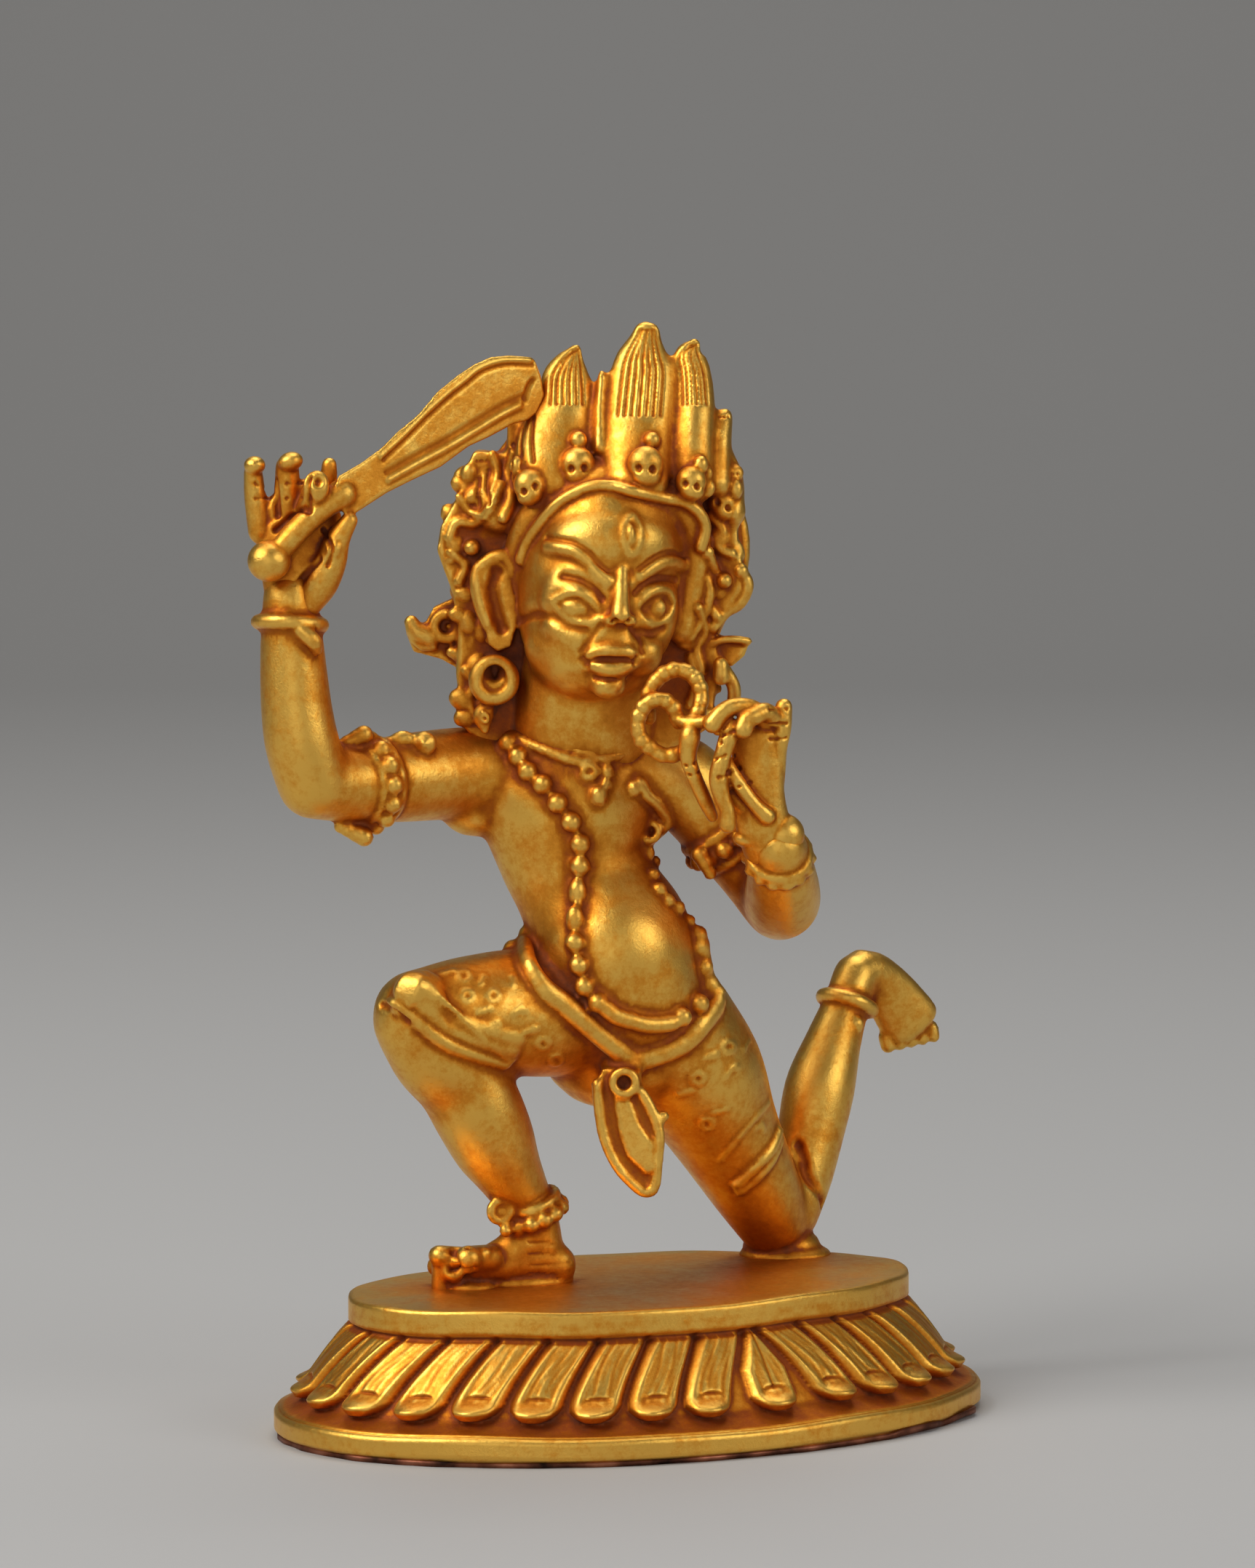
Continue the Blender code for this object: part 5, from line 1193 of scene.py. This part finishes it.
def darkenedCopper():
    # thin hammered copper sheet, pink where it was cut and blackened where it was heated
    made, tree = emptyMaterial("hammeredCopperSheet")
    place = node(tree, "ShaderNodeTexCoord").outputs["Object"]
    patches = node(tree, "ShaderNodeTexNoise", links={"Vector": place},
        Scale=450.0, Detail=6.0).outputs["Fac"]
    colour = ramp(tree, patches, [(0.36, linear(copper["black"])), (0.7, linear(copper["clean"])),
                                  (0.52, linear(copper["dull"]))]).outputs["Color"]
    rough = node(tree, "ShaderNodeMapRange", links={"Value": patches}, From_Min=0.3, From_Max=0.7,
                 To_Min=copper["roughness"][1], To_Max=copper["roughness"][0]).outputs["Result"]
    dents = node(tree, "ShaderNodeBump", links={"Height": patches}, Strength=0.4, Distance=0.0001)
    shader = node(tree, "ShaderNodeBsdfPrincipled", links={"Base Color": colour, "Roughness": rough,
                                                           "Normal": dents.outputs["Normal"]}, Metallic=0.9)
    node(tree, "ShaderNodeOutputMaterial", links={"Surface": shader.outputs["BSDF"]})
    return made


# Making the pieces

flesh = melt(fleshForms(), figure["fleshGrain"], 8)
fleshTree = treeOf(flesh)
bodyForms = [asForm(flesh)]
toeForms(bodyForms)
mountForms(bodyForms)
clothForms(bodyForms, fleshTree)
jewelForms(bodyForms, fleshTree)
bodyMesh = melt(bodyForms, figure["bodyGrain"], 1)
carve(bodyMesh, bodyStrokes(treeOf(bodyMesh)))
body = pieceFrom(thinned(bodyMesh, figure["mostTriangles"]), "figureBody", seat)

faceMesh = melt(headForms(), figure["skullGrain"], 7)
carve(faceMesh, socketStrokes(treeOf(faceMesh)))
faceTree = treeOf(faceMesh)
faceParts = [asForm(faceMesh)]
faceForms(faceParts, faceTree)
faceMesh = melt(faceParts, figure["faceGrain"], 5)
massForms = []
hairMass(massForms)
massMesh = melt(massForms, figure["hairGrain"], 3)
headTree = treeOf(faceMesh, massMesh)
headParts = [asForm(faceMesh), asForm(massMesh)]
earForms(headParts)
skullStrokes = crownForms(headParts, headTree)
hairForms(headParts, headTree)
headMesh = melt(headParts, figure["headGrain"], 1)
headTree = treeOf(headMesh)
carve(headMesh, faceStrokes(headTree) + skullStrokes + hairStrokes(headTree))
head = pieceFrom(thinned(headMesh, figure["mostTriangles"]), "figureHead", seat)

handMesh = melt(swordHandForms(), figure["handGrain"], 2)
carve(handMesh, swordHandStrokes(treeOf(handMesh)))
swordHand = pieceFrom(thinned(handMesh, figure["mostTriangles"]), "swordHand", seat)
handMesh = melt(ropeHandForms(), figure["handGrain"], 1)
carve(handMesh, ropeHandStrokes(treeOf(handMesh)))
ropeHand = pieceFrom(thinned(handMesh, figure["mostTriangles"]), "ropeHand", seat)

lotus = lotusPiece()
copperSheet = sheetPiece()
addWearAndShadeMasks([body, head, swordHand, ropeHand, lotus])

gilt = gildedCopper()
for piece in (body, head, swordHand, ropeHand):
    piece.data.materials.clear()
    piece.data.materials.append(gilt)
    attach(piece, "root")
    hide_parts("figure")
lotus.data.materials.append(gilt)
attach(lotus, "root")
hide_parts("lotus_base")
copperSheet.data.materials.append(darkenedCopper())
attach(copperSheet, "root")
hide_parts("base_plate")
print("pieces finished and placed")

# Stage

stage = {"floor": "#b1b0ae", "size": 3.0, "wallAt": 1.1}


def sweep():
    # pale floor that runs up into a plain wall behind
    form = bmesh.new()
    bmesh.ops.create_grid(form, x_segments=1, y_segments=1, size=stage["size"] / 2)
    far = [e for e in form.edges if all(v.co.y > 0 for v in e.verts)]
    for edge in far:
        for vert in edge.verts:
            vert.co.y = stage["wallAt"]
    made = bmesh.ops.extrude_edge_only(form, edges=far)
    lifted = [item for item in made["geom"] if isinstance(item, bmesh.types.BMVert)]
    bmesh.ops.translate(form, verts=lifted, vec=(0, 0, stage["size"] / 2))
    fold = [e for e in form.edges if len(e.link_faces) == 2]
    bmesh.ops.bevel(form, geom=fold, offset=0.5, segments=24, profile=0.5, affect="EDGES", material=-1)
    bmesh.ops.rotate(form, verts=form.verts, cent=(0, 0, 0), matrix=Matrix.Rotation(figure["turn"], 3, "Z"))
    mesh = bpy.data.meshes.new("paperSweep")
    form.to_mesh(mesh)
    form.free()
    mesh.shade_smooth()
    made = placed("paperSweep", mesh)
    paper = bpy.data.materials.new("matPaper")
    paper.use_nodes = True
    shader = paper.node_tree.nodes["Principled BSDF"]
    shader.inputs["Base Color"].default_value = linear(stage["floor"])
    shader.inputs["Roughness"].default_value = 0.75
    mesh.materials.append(paper)


sweep()

lights = [
    {"name": "bigSoftboxLeft", "at": (-0.30, -0.20, 0.34), "size": 0.28, "watts": 1.65},
    {"name": "softboxRight", "at": (0.34, -0.22, 0.20), "size": 0.24, "watts": 0.5},
    {"name": "topStrip", "at": (0.02, 0.10, 0.45), "size": 0.30, "watts": 0.7},
    {"name": "frontFill", "at": (-0.05, -0.55, 0.10), "size": 0.30, "watts": 0.32},
    {"name": "wallWash", "at": (0.0, 0.45, 0.75), "size": 0.40, "watts": 1.3, "aim": (0.0, 1.1, 0.1)},
]
turned = Matrix.Rotation(figure["turn"], 4, "Z")
for lamp in lights:
    data = bpy.data.lights.new(lamp["name"], "AREA")
    data.energy, data.size = lamp["watts"], lamp["size"]
    made = placed(lamp["name"], data)
    made.location = turned @ Vector(lamp["at"])
    aimAt = turned @ Vector(lamp.get("aim", (0, 0, 0.03)))
    made.rotation_euler = (aimAt - made.location).to_track_quat("-Z", "Y").to_euler()

world = bpy.data.worlds.new("dimRoom")
bpy.context.scene.world = world
world.use_nodes = True
world.node_tree.nodes["Background"].inputs["Color"].default_value = linear("#9c9997")
world.node_tree.nodes["Background"].inputs["Strength"].default_value = 0.36

# the photograph's view: a long lens, level with the figure's head and looking a little down
view = {"distance": 0.336, "pixelsPerMetre": 25400, "pitch": math.radians(4.7), "frameHigh": 2156,
        "aim": (-0.00022, 0.0, 0.02743), "sensor": 36.0}
aim = turned @ Vector(view["aim"]) + Vector((0, 0, plinthHigh.z))
back = turned @ Vector((0, -math.cos(view["pitch"]), math.sin(view["pitch"])))
lens = bpy.data.cameras.new("camera")
lens.sensor_width = view["sensor"]
lens.lens = view["sensor"] * view["distance"] * view["pixelsPerMetre"] / view["frameHigh"]
lens.clip_start = 0.01
camera = placed("camera", lens)
camera.location = aim + back * view["distance"]
camera.rotation_euler = (-back).to_track_quat("-Z", "Y").to_euler()
bpy.context.scene.camera = camera
bpy.context.scene.view_settings.view_transform = "Standard"
print("stage, lights and camera set")
